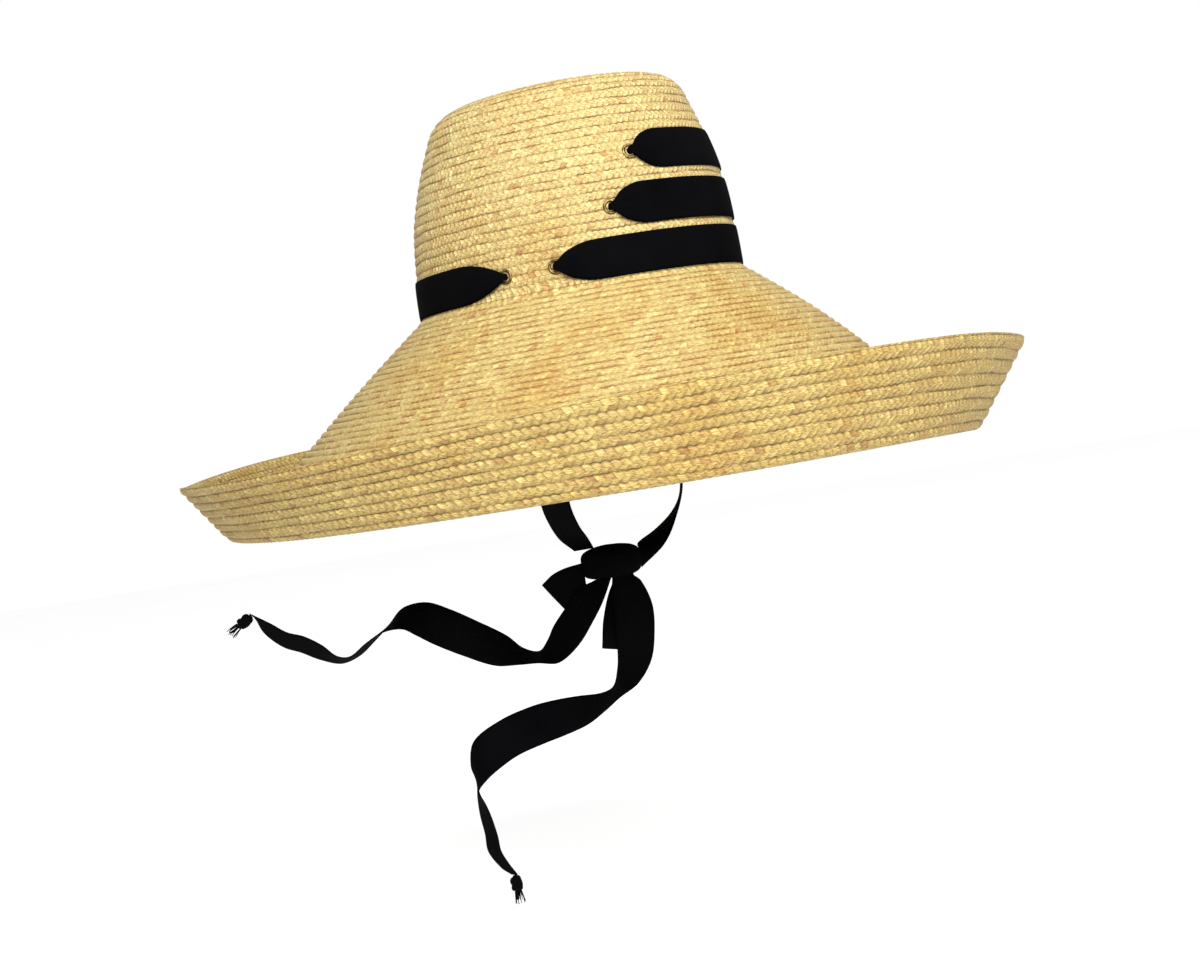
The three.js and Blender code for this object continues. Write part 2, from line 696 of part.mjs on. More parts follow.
function makeKnot() {
  const corner = 0.4 * knotHeight
  const cornerSteps = 3
  const rings = knotSections.map((section) => {
    const inset = section.inset * knotDepth
    const radius = corner - inset
    const right = 0.5 * knotWidth - corner
    const up = 0.5 * knotHeight - corner
    const ring = []
    for (const [k, [x, y]] of [[1, 1], [-1, 1], [-1, -1], [1, -1]].entries()) {
      for (let i = 0; i <= cornerSteps; i += 1) {
        const angle = Math.PI / 2 * (k + i / cornerSteps)
        ring.push(bowPoint(
          x * right + radius * Math.cos(angle),
          y * up + radius * Math.sin(angle),
          section.toward * knotDepth,
        ))
      }
    }
    return ring
  })
  return solidThroughRings(rings)
}

// A ribbon through sections of middle points, each turned about the way it runs.
function ribbonAlong(points, widths, turns, reference, firstRing, lastRing, endDirection) {
  const rings = points.map((point, i) => {
    const before = points[Math.max(i - 1, 0)]
    const after = points[Math.min(i + 1, points.length - 1)]
    const ending = endDirection && i === points.length - 1
    const along = ending ? endDirection : after.clone().sub(before).normalize()
    const flat = along.clone().cross(reference).normalize()
    const across = flat.applyAxisAngle(along, degrees(turns[i]))
    return ribbonRing(point, across, across.clone().cross(along).normalize(), widths[i], ribbonThick)
  })
  if (firstRing) rings[0] = firstRing
  if (lastRing) rings[rings.length - 1] = lastRing
  return solidThroughRings(rings)
}

// A chin tie from the inner end of the front band down to the knot.
function makeTie(sections, side, entry, entryAcross, entryFacing) {
  const frame = eyeletFrame(eyeletRows.front, side)
  const inside = frame.point.clone().addScaledVector(frame.out, neckEnd - gap - 0.5 * ribbonThick)
  const top = inside.clone().addScaledVector(frame.up, eyeletHoleRadius)
  const points = sections.map((s) => {
    const height = top.z + (entry.z - top.z) * s.at
    const point = entry.clone().lerp(top, s.out)
    point.z = height
    return point.addScaledVector(bowRight, s.bulge * tieBulge)
  })
  const outwards = frame.out.clone().setZ(0).normalize()
  const widths = sections.map((s) => s.width * ribbonWidth)
  const last = ribbonRing(entry, entryAcross, entryFacing, widths[widths.length - 1], 2 * ribbonThick)
  return ribbonAlong(points, widths, sections.map((s) => s.turn), outwards, null, last)
}

function tailPoints(tail) {
  return tail.sections.map((s) => bowPoint(
    tail.fromRight * knotWidth + s.right * tail.length,
    -0.5 * knotHeight - gap + s.up * tail.length,
    tail.fromToward * knotDepth + s.toward * ribbonWidth,
  ))
}

function tailEndDirection(tail) {
  return bowRight.clone().multiplyScalar(tail.endRight).addScaledVector(bowUp, tail.endUp).normalize()
}

function makeTail(tail) {
  const points = tailPoints(tail)
  const widths = tail.sections.map((s) => s.width * ribbonWidth)
  const turns = tail.sections.map((s) => s.turn)
  const first = ribbonRing(points[0], bowLeft, bowToward, widths[0], 2 * ribbonThick)
  return ribbonAlong(points, widths, turns, bowToward, first, null, tailEndDirection(tail))
}

// A loop leaves a face of the knot and runs off at an angle from straight down.
function makeLoop(length, start, faceNormal, swing) {
  const run = bowDown.clone().applyAxisAngle(bowToward, degrees(swing))
  const across = run.clone().cross(bowToward).normalize()
  const acrossFace = faceNormal.clone().cross(bowToward)
  const centres = loopSections.map((s) => start.clone()
    .addScaledVector(run, s.along * length)
    .addScaledVector(bowToward, s.toward * ribbonWidth))
  const lastIndex = loopSections.length - 1
  const rings = loopSections.map((s, i) => {
    const width = s.width * ribbonWidth
    if (i === 0) return ribbonRing(centres[i], acrossFace, bowToward, width, ribbonThick)
    if (i === lastIndex) return ribbonRing(centres[i], acrossFace, bowAway, width, ribbonThick)
    const along = centres[i + 1].clone().sub(centres[i - 1]).normalize()
    return ribbonRing(centres[i], across, across.clone().cross(along).normalize(), width, ribbonThick)
  })
  return solidThroughRings(rings)
}

// A tail's end: a small overhand knot and a frayed tuft, as one turned solid.
function makeTailKnot(tail) {
  const end = tailPoints(tail).pop()
  const radius = 0.5 * tailKnotWidth
  const profile = [
    [0, gap],
    [0.45 * radius, gap],
    [0.9 * radius, 0.2 * tailKnotLength],
    [radius, 0.5 * tailKnotLength],
    [0.8 * radius, 0.8 * tailKnotLength],
    [0.45 * radius, tailKnotLength],
    [0.6 * radius, tailKnotLength + 0.5 * fringeLength],
    [0.5 * radius, tailKnotLength + fringeLength],
    [0, tailKnotLength + fringeLength],
  ].map(([r, s]) => new THREE.Vector2(r, s))
  const mesh = new THREE.Mesh(new THREE.LatheGeometry(profile, tailKnotSides), ribbon)
  mesh.position.copy(end)
  mesh.quaternion.setFromUnitVectors(vector(0, 1, 0), tailEndDirection(tail))
  return mesh
}

const group = new THREE.Group()

function add(name, piece, material) {
  const mesh = piece.isMesh ? piece : new THREE.Mesh(piece, material)
  mesh.name = name
  group.add(mesh)
}

add('crown', cutEyeletHoles(makeCrown()), straw)
add('brim', makeBrim(), straw)
for (const [name, row] of Object.entries(eyeletRows)) {
  add(`eyelet_${name}_left`, makeEyelet(row, 1))
  add(`eyelet_${name}_right`, makeEyelet(row, -1))
}
add('band_front', makeBand(eyeletRows.front, -1), ribbon)
add('band_low', makeBand(eyeletRows.low, 1), ribbon)
add('band_mid', makeBand(eyeletRows.mid, 1), ribbon)
add('band_top', makeBand(eyeletRows.top, 1), ribbon)
add('lace_left', makeLace(1), ribbon)
add('lace_right', makeLace(-1), ribbon)

const leftEntry = bowPoint(-0.44 * knotWidth, 0.5 * knotHeight + gap + 0.5, 0)
const rightEntry = bowPoint(0.5 * knotWidth + gap + 0.5, -0.05 * knotHeight, 0)
add('tie_left', makeTie(leftTieSections, 1, leftEntry, bowLeft, bowToward), ribbon)
add('tie_right', makeTie(rightTieSections, -1, rightEntry, bowDown, bowAway), ribbon)
add('bow_knot', makeKnot(), ribbon)
const knotLeftFace = bowPoint(-0.5 * knotWidth - gap, -0.2 * knotHeight, 0)
const knotLowerFace = bowPoint(0.2 * knotWidth, -0.5 * knotHeight - gap, -0.25 * knotDepth)
add('bow_loop_front', makeLoop(frontLoopLength, knotLeftFace, bowLeft, frontLoopSwing), ribbon)
add('bow_loop_back', makeLoop(backLoopLength, knotLowerFace, bowDown, backLoopSwing), ribbon)
add('tail_front', makeTail(tails.front), ribbon)
add('tail_long', makeTail(tails.long), ribbon)
add('tail_front_knot', makeTailKnot(tails.front))
add('tail_long_knot', makeTailKnot(tails.long))

export default group
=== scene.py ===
"""Looks of the straw sun hat: sewn rows of plaited straw, a black ribbon and brass eyelets.

The shape functions work in millimetres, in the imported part's frame: +Z up along the
crown's axis, front towards -Y, the wearer's left towards +X. Meshes are made in metres.
"""
import math
from dataclasses import dataclass

import bpy
import numpy as np
from mathutils import Matrix, Vector


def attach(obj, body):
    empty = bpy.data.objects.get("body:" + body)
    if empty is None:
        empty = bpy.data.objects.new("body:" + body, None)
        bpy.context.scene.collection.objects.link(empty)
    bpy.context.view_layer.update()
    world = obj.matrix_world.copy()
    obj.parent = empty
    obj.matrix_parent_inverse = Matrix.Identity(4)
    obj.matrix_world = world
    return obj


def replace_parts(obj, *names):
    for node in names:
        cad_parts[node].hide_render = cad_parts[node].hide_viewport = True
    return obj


MM = 0.001
FULL_TURN = 2 * math.pi

# Crown
STRAW_WALL = 2.0
GAP = 0.3
CROWN_HALF_LENGTH = 99.6
CROWN_HALF_WIDTH = 83.0
CROWN_HEIGHT = 123.5
SHOULDER_RADIUS = 22.0
TIP_DOME = 3.5
CROWN_LEAN = 4.2
TIP_SIZE_SHARE = 0.63
WALL_LEAN_SHARE = 0.36

# Brim
CONE_REACH = 130.0
CONE_BULGE = 4.0
FOLD_DROP = 117.0
FOLD_RADIUS = 11.0
RIM_REACH = 153.5
RIM_DROP = 70.0

# Ribbon and eyelets
RIBBON_WIDTH = 24.0
RIBBON_THICK = 1.0
RIBBON_CROWN = 0.15
RIBBON_LIFT = 0.4
BAND_ABOVE_BRIM = 0.6
LOW_BAND_GAP = 3.4
TOP_BAND_GAP = 6.0
LOW_BAND_SPREAD = 0.95
LOW_ROW_MIDDLE = 0.5 * LOW_BAND_SPREAD * RIBBON_WIDTH
LACE_END_WIDTH = 0.34
LACE_SPREAD = 0.3
EYELET_HOLE_RADIUS = 2.75
EYELET_FLANGE_RADIUS = 4.5
EYELET_FLANGE_THICK = 0.7
EYELET_INNER_RADIUS = 0.9 * EYELET_FLANGE_RADIUS
EYELET_BARREL_THICK = 0.5
EYELET_TOP = GAP + EYELET_FLANGE_THICK
EYELET_BOTTOM = -STRAW_WALL - GAP - EYELET_FLANGE_THICK
NECK_END = EYELET_BOTTOM - GAP

# Bow
BOW_FACING = math.radians(108)
KNOT_DROP = 163.0
KNOT_ACROSS = -9.5
KNOT_WIDTH = 34.0
KNOT_HEIGHT = 18.0
KNOT_DEPTH = 15.0
TIE_BULGE = 33.0
FRONT_LOOP_LENGTH = 24.0
BACK_LOOP_LENGTH = 46.0
FRONT_LOOP_SWING = math.radians(-56)
BACK_LOOP_SWING = math.radians(-12)
FRONT_TAIL_REACH = 228.0
LONG_TAIL_DROP = 170.0
TAIL_KNOT_LENGTH = 11.0
TAIL_KNOT_WIDTH = 8.0
FRINGE_LENGTH = 8.0
FRINGE_THREADS = 22

# Sewn straw rows
CROWN_ROW = 5.6
CONE_ROWS = 33
EDGE_ROWS = 8
CROWN_PLAIT = 3.4
CONE_PLAIT = 3.6
EDGE_PLAIT = 4.6


def table(columns, *rows):
    """A short table as one array for each named column."""
    values = np.array(rows, dtype=float)
    return {name: values[:, i] for i, name in enumerate(columns.split())}


# Crown wall. at: share of the wall's height; size: share of the base oval.
WALL_SECTIONS = table(
    "at size",
    (0.0, 1.0),
    (0.27, 0.99),
    (0.51, 0.965),
    (0.68, 0.925),
    (0.86, 0.866),
    (1.0, 0.81),
)

# The brim's waves, as shares of its named sizes, at degrees round the hat.
BRIM_WAVES = table(
    "at cone bulge fold reach rim",
    (18, 1.015, 1.0, 0.963, 1.033, 1.06),
    (63, 1.0, 1.0, 0.994, 1.012, 1.08),
    (108, 0.99, 1.2, 1.008, 1.0, 0.96),
    (153, 0.94, 1.8, 1.024, 1.0, 0.93),
    (198, 0.895, 2.4, 1.054, 1.0, 1.06),
    (243, 0.94, 1.8, 1.035, 1.0, 1.09),
    (288, 1.0, 1.2, 1.0, 1.01, 0.97),
    (333, 1.01, 1.0, 0.96, 1.028, 0.89),
    (378, 1.015, 1.0, 0.963, 1.033, 1.06),
)

# Eyelet rows: degrees round the hat, height, length of the gather, share of full width.
EYELET_ROWS = {
    key: {"turn": turn, "height": BAND_ABOVE_BRIM + height, "gather": gather, "spread": spread}
    for key, turn, height, gather, spread in (
        ("front", 80.6, LOW_ROW_MIDDLE, 30.0, LOW_BAND_SPREAD),
        ("low", 98.5, LOW_ROW_MIDDLE, 22.0, LOW_BAND_SPREAD),
        ("mid", 120.0, 1.5 * RIBBON_WIDTH + LOW_BAND_GAP, 20.0, 1.0),
        ("top", 131.0, 2.5 * RIBBON_WIDTH + LOW_BAND_GAP + TOP_BAND_GAP, 20.0, 1.0),
    )
}

# The ribbon's spread. at: share of the gather; the rest are shares of the ribbon's sizes.
GATHER_SECTIONS = table(
    "at width thick lift",
    (0.25, 0.58, 1.8, 1.0),
    (0.48, 0.82, 1.4, 0.35),
    (0.75, 0.97, 1.1, 0.05),
    (1.0, 1.0, 1.0, 0.0),
)

# Chin ties. at: share of the way down; out: share of the sideways distance left;
# bulge: share of TIE_BULGE; width: share of RIBBON_WIDTH; turn: degrees.
LEFT_TIE = table(
    "at out bulge width turn",
    (0.0, 1.0, 0.0, 0.3, 0),
    (0.05, 1.0, 0.0, 0.5, 0),
    (0.14, 0.995, 0.0, 0.95, 0),
    (0.3, 0.96, 0.0, 1.0, 2),
    (0.5, 0.87, -0.04, 1.0, 4),
    (0.68, 0.7, -0.09, 1.0, 8),
    (0.8, 0.5, -0.14, 1.0, 12),
    (0.88, 0.32, -0.15, 1.0, 10),
    (0.95, 0.13, -0.1, 0.85, 5),
    (1.0, 0.0, 0.0, 0.5, 0),
)
RIGHT_TIE = table(
    "at out bulge width turn",
    (0.0, 1.0, 0.0, 0.3, 0),
    (0.05, 1.0, 0.01, 0.5, 0),
    (0.14, 0.99, 0.06, 0.95, 0),
    (0.3, 0.94, 0.3, 1.0, 12),
    (0.46, 0.85, 0.62, 1.0, 30),
    (0.6, 0.72, 0.88, 1.0, 64),
    (0.72, 0.58, 1.02, 1.0, 78),
    (0.82, 0.42, 0.94, 1.0, 80),
    (0.9, 0.25, 0.6, 1.0, 68),
    (0.96, 0.1, 0.25, 0.85, 44),
    (1.0, 0.0, 0.0, 0.5, 20),
)

# Tails. right and up: shares of the tail's length; toward and width: shares of
# RIBBON_WIDTH; turn: degrees from facing the viewer.
FRONT_TAIL = table(
    "right up toward width turn",
    (0.014, 0.0, -0.09, 0.42, 0),
    (-0.025, -0.035, 0.2, 0.75, 30),
    (-0.06, -0.075, 0.3, 0.95, 40),
    (-0.108, -0.128, 0.35, 1.0, 41),
    (-0.15, -0.165, 0.32, 1.0, 57),
    (-0.19, -0.173, 0.3, 1.0, 80),
    (-0.235, -0.163, 0.3, 1.0, 72),
    (-0.285, -0.139, 0.3, 1.0, 44),
    (-0.36, -0.094, 0.28, 1.0, 28),
    (-0.43, -0.05, 0.26, 1.0, 22),
    (-0.482, -0.02, 0.22, 1.0, 38),
    (-0.53, -0.012, 0.18, 1.0, 64),
    (-0.578, -0.032, 0.15, 1.0, 88),
    (-0.625, -0.06, 0.12, 1.0, 96),
    (-0.672, -0.09, 0.1, 1.0, 98),
    (-0.715, -0.093, 0.08, 0.95, 108),
    (-0.76, -0.066, 0.06, 0.9, 122),
    (-0.805, -0.037, 0.04, 0.75, 131),
    (-0.85, -0.016, 0.02, 0.62, 136),
    (-0.892, 0.022, 0.0, 0.48, 136),
    (-0.926, 0.062, 0.0, 0.28, 132),
)
LONG_TAIL = table(
    "right up toward width turn",
    (0.0, 0.0, -0.09, 0.5, 0),
    (0.01, -0.04, 0.04, 0.8, 4),
    (0.02, -0.12, 0.08, 1.0, 8),
    (0.012, -0.21, 0.12, 1.0, 14),
    (-0.005, -0.29, 0.16, 1.0, 32),
    (-0.04, -0.355, 0.18, 1.0, 55),
    (-0.09, -0.405, 0.18, 1.0, 78),
    (-0.14, -0.43, 0.18, 1.0, 72),
    (-0.215, -0.449, 0.17, 1.0, 50),
    (-0.3, -0.461, 0.16, 1.0, 32),
    (-0.385, -0.474, 0.14, 1.0, 14),
    (-0.495, -0.503, 0.12, 1.0, 6),
    (-0.585, -0.55, 0.1, 1.0, 22),
    (-0.625, -0.61, 0.06, 1.0, 60),
    (-0.638, -0.66, 0.03, 1.0, 84),
    (-0.634, -0.71, 0.0, 0.95, 75),
    (-0.628, -0.77, 0.0, 0.85, 66),
    (-0.62, -0.84, 0.0, 0.78, 62),
    (-0.618, -0.9, 0.0, 0.7, 57),
    (-0.59, -0.958, 0.0, 0.45, 52),
    (-0.562, -0.995, 0.0, 0.25, 48),
)
# Where the tails leave the knot, in shares of its width and depth, and how they end.
TAILS = {
    "front": {
        "sections": FRONT_TAIL, "length": FRONT_TAIL_REACH, "from_right": -0.28,
        "from_toward": 0.35, "end_right": -0.87, "end_up": -0.5,
    },
    "long": {
        "sections": LONG_TAIL, "length": LONG_TAIL_DROP, "from_right": 0.15,
        "from_toward": 0.3, "end_right": 0.05, "end_up": -1.0,
    },
}

# Loops. along: share of the loop's length; toward and width: shares of RIBBON_WIDTH.
LOOP_SECTIONS = table(
    "along toward width",
    (0.0, 0.1, 0.45),
    (0.3, 0.15, 0.8),
    (0.65, 0.15, 1.0),
    (0.92, 0.11, 1.0),
    (1.0, 0.0, 1.0),
    (0.92, -0.11, 1.0),
    (0.65, -0.15, 1.0),
    (0.3, -0.15, 0.8),
    (0.0, -0.1, 0.45),
)


def glide(s, start, end, start_bend, end_bend):
    """A smooth run from one value to the next, with its slope given at both ends."""
    value = (2 * s**3 - 3 * s**2 + 1) * start + (3 * s**2 - 2 * s**3) * end
    return value + (s**3 - 2 * s**2 + s) * start_bend + (s**3 - s**2) * end_bend


def read_table(rows, column, at):
    """Reads a column at places between a table's rows, on a smooth curve."""
    places = rows["at"]
    values = rows[column]
    last = len(places) - 1
    low = np.maximum(np.arange(last + 1) - 1, 0)
    high = np.minimum(np.arange(last + 1) + 1, last)
    slopes = (values[high] - values[low]) / (places[high] - places[low])
    k = np.clip(np.searchsorted(places, at, side="left") - 1, 0, last - 1)
    span = places[k + 1] - places[k]
    share = (at - places[k]) / span
    return glide(share, values[k], values[k + 1], slopes[k] * span, slopes[k + 1] * span)


def unit(vectors):
    length = np.linalg.norm(vectors, axis=-1, keepdims=True)
    return vectors / np.maximum(length, 1e-9)


# Crown surface

DOME_SLOPE = math.atan(2 * TIP_DOME / (CROWN_HALF_LENGTH * TIP_SIZE_SHARE))
ARC_START = math.atan(CROWN_HALF_LENGTH * WALL_LEAN_SHARE / CROWN_HEIGHT)
ARC_END = math.pi / 2 - DOME_SLOPE
ARC_RISE = SHOULDER_RADIUS * (math.sin(ARC_END) - math.sin(ARC_START))
WALL_HEIGHT = CROWN_HEIGHT - TIP_DOME - ARC_RISE


def crown_outline():
    """Distance from the tip's centre along the crown's outline, with radius and height there."""
    heights = np.linspace(0, WALL_HEIGHT, 160)
    radii = CROWN_HALF_LENGTH * read_table(WALL_SECTIONS, "size", heights / WALL_HEIGHT)
    angle = np.linspace(ARC_START, ARC_END, 50)[1:]
    arc_radii = radii[-1] + SHOULDER_RADIUS * (np.cos(angle) - math.cos(ARC_START))
    arc_heights = heights[-1] + SHOULDER_RADIUS * (np.sin(angle) - math.sin(ARC_START))
    share = np.linspace(1, 0, 60)[1:]
    dome_radii = arc_radii[-1] * share
    dome_heights = arc_heights[-1] + TIP_DOME * (1 - share**2)
    radius = np.concatenate([radii, arc_radii, dome_radii])[::-1]
    height = np.concatenate([heights, arc_heights, dome_heights])[::-1]
    steps = np.hypot(np.diff(radius), np.diff(height))
    return np.concatenate([[0], np.cumsum(steps)]), radius, height


CROWN_DISTANCE, CROWN_RADIUS, CROWN_LEVEL = crown_outline()
CROWN_ROWS = round(CROWN_DISTANCE[-1] / CROWN_ROW)
TIP_ROWS = 13
TURN_STEP = 0.01
OUTLINE_STEP = 0.6


def crown_point(turn, radius, height):
    width = radius * CROWN_HALF_WIDTH / CROWN_HALF_LENGTH
    return np.stack([
        width * np.sin(turn),
        -radius * np.cos(turn) + CROWN_LEAN * (height / CROWN_HEIGHT) ** 2,
        height + 0 * turn,
    ], axis=-1)


def crown_surface(turn, row):
    """Point and outward direction at a row number counted from the tip's centre."""
    def at(turn, distance):
        radius = np.interp(distance, CROWN_DISTANCE, CROWN_RADIUS)
        height = np.interp(distance, CROWN_DISTANCE, CROWN_LEVEL)
        return crown_point(turn, radius, height)

    distance = np.maximum(row, 0.03) * CROWN_DISTANCE[-1] / CROWN_ROWS
    low = np.clip(distance - OUTLINE_STEP, 0.05, None)
    high = np.clip(distance + OUTLINE_STEP, None, CROWN_DISTANCE[-1])
    safe = np.maximum(distance, 0.5)
    down = at(turn, high) - at(turn, low)
    round_way = at(turn + TURN_STEP, safe) - at(turn - TURN_STEP, safe)
    return at(turn, distance), unit(np.cross(down, round_way))


def wall_frame(turn, height):
    """A point of the crown's outer wall, with the directions round, up and away from it."""
    def at(t, h):
        size = read_table(WALL_SECTIONS, "size", h / WALL_HEIGHT)
        return crown_point(t, CROWN_HALF_LENGTH * size, h)

    round_way = unit(at(turn + TURN_STEP, height) - at(turn - TURN_STEP, height))
    up = unit(at(turn, height + 1) - at(turn, height - 1))
    return at(turn, height), round_way, up, unit(np.cross(round_way, up))


# Brim surface

HALF_STEPS = 96
TILT_STEP = 0.012


def brim_paths(turns):
    """Each turn's outline from the crown to the fold and on to the rim, in even steps."""
    first = BRIM_WAVES["at"][0]
    at = (np.degrees(turns) - first) % 360 + first
    waves = {name: read_table(BRIM_WAVES, name, at) for name in BRIM_WAVES}
    corner = np.array([CONE_REACH * waves["cone"], -FOLD_DROP * waves["fold"]])
    rim = np.array([RIM_REACH * waves["reach"], -RIM_DROP * waves["rim"]])
    bulge = CONE_BULGE * waves["bulge"]
    before = 1 - FOLD_RADIUS / np.hypot(*corner)
    after = FOLD_RADIUS / np.hypot(*(rim - corner))

    def on_cone(share):
        return corner * share + np.array([0 * bulge, bulge * np.sin(math.pi * share)])

    def on_fold(s):
        ends = (1 - s) ** 2 * on_cone(before) + s**2 * on_edge(after)
        return ends + 2 * s * (1 - s) * on_cone(1)

    def on_edge(share):
        return corner + (rim - corner) * share

    first_share = GAP / np.abs(corner[1])
    cone = [on_cone(first_share + (before - first_share) * s) for s in np.linspace(0, 1, 50)]
    fold = [on_fold(s) for s in np.linspace(0, 1, 25)[1:-1]]
    edge = [on_edge(after + (1 - after) * s) for s in np.linspace(0, 1, 20)]
    middle = len(cone) + len(fold) // 2
    path = np.array(cone + fold + edge)
    steps = np.linalg.norm(np.diff(path, axis=0), axis=1)
    distance = np.concatenate([np.zeros((1, len(turns))), np.cumsum(steps, axis=0)])
    even = []
    for own, outline in zip(distance.T, path.T):
        places = np.concatenate([
            np.linspace(0, own[middle], HALF_STEPS + 1),
            np.linspace(own[middle], own[-1], HALF_STEPS + 1)[1:],
        ])
        even.append([np.interp(places, own, values) for values in outline])
    return np.array(even)


def brim_point(turn, out, height):
    return np.stack([
        (CROWN_HALF_WIDTH + out) * np.sin(turn),
        -(CROWN_HALF_LENGTH + out) * np.cos(turn),
        height,
    ], axis=-1)


def brim_surface_for(turns, start, rows):
    """A function that gives the upper side of the cone (start 0) or edge (start 1) at a row."""
    paths = brim_paths(turns)
    columns = np.arange(len(turns))

    def level(place):
        x = np.clip(place, 0, 2) * HALF_STEPS
        k = np.clip(np.floor(x).astype(int), 0, 2 * HALF_STEPS - 1)
        s = (x - k)[..., None]
        return paths[columns, :, k] * (1 - s) + paths[columns, :, k + 1] * s

    def surface(turn, row):
        place = start + row / rows
        out, height = np.moveaxis(level(place), -1, 0)
        run, rise = np.moveaxis(unit(level(place + TILT_STEP) - level(place - TILT_STEP)), -1, 0)
        away = np.stack([-rise * np.sin(turn), rise * np.cos(turn), run], axis=-1)
        return brim_point(turn, out, height), away

    return surface


# Meshes

def add_object(name, data):
    made = bpy.data.objects.new(name, data)
    bpy.context.scene.collection.objects.link(made)
    return made


class MeshParts:
    """Collects points, faces and their UVs, and makes one object of them."""

    def __init__(self):
        self.points = []
        self.count = 0
        self.faces = []

    def add_points(self, points):
        start = self.count
        flat = np.asarray(points, dtype=float).reshape(-1, 3)
        self.points.append(flat)
        self.count += len(flat)
        return start

    def add_faces(self, corners, uvs):
        """corners: faces by corner numbers; uvs: the same with a pair for each corner."""
        self.faces.append((np.asarray(corners, dtype=np.int32), np.asarray(uvs, dtype=np.float32)))

    def build(self, name, slot, material=None):
        mesh = bpy.data.meshes.new(name)
        points = np.concatenate(self.points) * MM
        corners = np.concatenate([faces.reshape(-1) for faces, _ in self.faces])
        sizes = np.concatenate([np.full(len(faces), faces.shape[1]) for faces, _ in self.faces])
        uvs = np.concatenate([uv.reshape(-1, 2) for _, uv in self.faces])
        mesh.vertices.add(len(points))
        mesh.vertices.foreach_set("co", points.astype(np.float32).reshape(-1))
        mesh.loops.add(len(corners))
        mesh.loops.foreach_set("vertex_index", corners)
        mesh.polygons.add(len(sizes))
        starts = np.concatenate([[0], np.cumsum(sizes)[:-1]]).astype(np.int32)
        mesh.polygons.foreach_set("loop_start", starts)
        mesh.update(calc_edges=True)
        layer = mesh.uv_layers.new(name="UVMap")
        layer.data.foreach_set("uv", uvs.reshape(-1))
        mesh.polygons.foreach_set("use_smooth", np.ones(len(sizes), dtype=bool))
        mesh.validate()
        mesh.materials.append(MATERIALS[material or slot])
        piece = add_object(name, mesh)
        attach(piece, "root")
        return piece


def grid_faces(start, rows, columns, flipped=False):
    """Quads of a grid that closes round, as corner numbers in row and column order."""
    row, column = np.meshgrid(np.arange(rows - 1), np.arange(columns), indexing="ij")
    a = start + row * columns + column
    b = start + row * columns + (column + 1) % columns
    quads = np.stack([a, b, b + columns, a + columns], axis=-1).reshape(-1, 4)
    return quads[:, ::-1] if flipped else quads


def grid_uvs(along, across):
    """UVs of a grid's quads, from a value for each row of points and for each column."""
    i, j = np.meshgrid(np.arange(len(along) - 1), np.arange(len(across) - 1), indexing="ij")
    corners = ((i, j), (i, j + 1), (i + 1, j + 1), (i + 1, j))
    pairs = [np.stack([along[a], across[b]], axis=-1) for a, b in corners]
    return np.stack(pairs, axis=2).reshape(-1, 4, 2)


def row_uvs(along, low, high):
    """UVs of one row of quads that runs along the straw, between two values across it."""
    return grid_uvs(np.array([low, high]), along)[..., ::-1]


# Sewn rows of plaited straw

RANDOM = np.random.default_rng(11)
ROW_PHASES = RANDOM.uniform(0, FULL_TURN, (128, 4))
ROW_SHIFTS = RANDOM.uniform(0, 1, 128)
UV_SPREAD = 40
WANDER_WAVES = (2, 5, 11, 23)
WANDER_SIZES = (0.05, 0.04, 0.035, 0.03)
SCALLOP = 0.05
ROW_ROUNDNESS = 0.55
RIM_ROUNDNESS = 0.6
STRAND_LEAN = 0.9


def seam_shift(seam, turn, plaits):
    """How far a seam strays from its even place, in rows: slow wander and plait scallops."""
    shift = SCALLOP * np.cos(FULL_TURN * (plaits * turn / FULL_TURN + ROW_SHIFTS[seam]))
    for i, (waves, size) in enumerate(zip(WANDER_WAVES, WANDER_SIZES)):
        shift = shift + size * np.sin(waves * turn + ROW_PHASES[seam, i])
    return shift


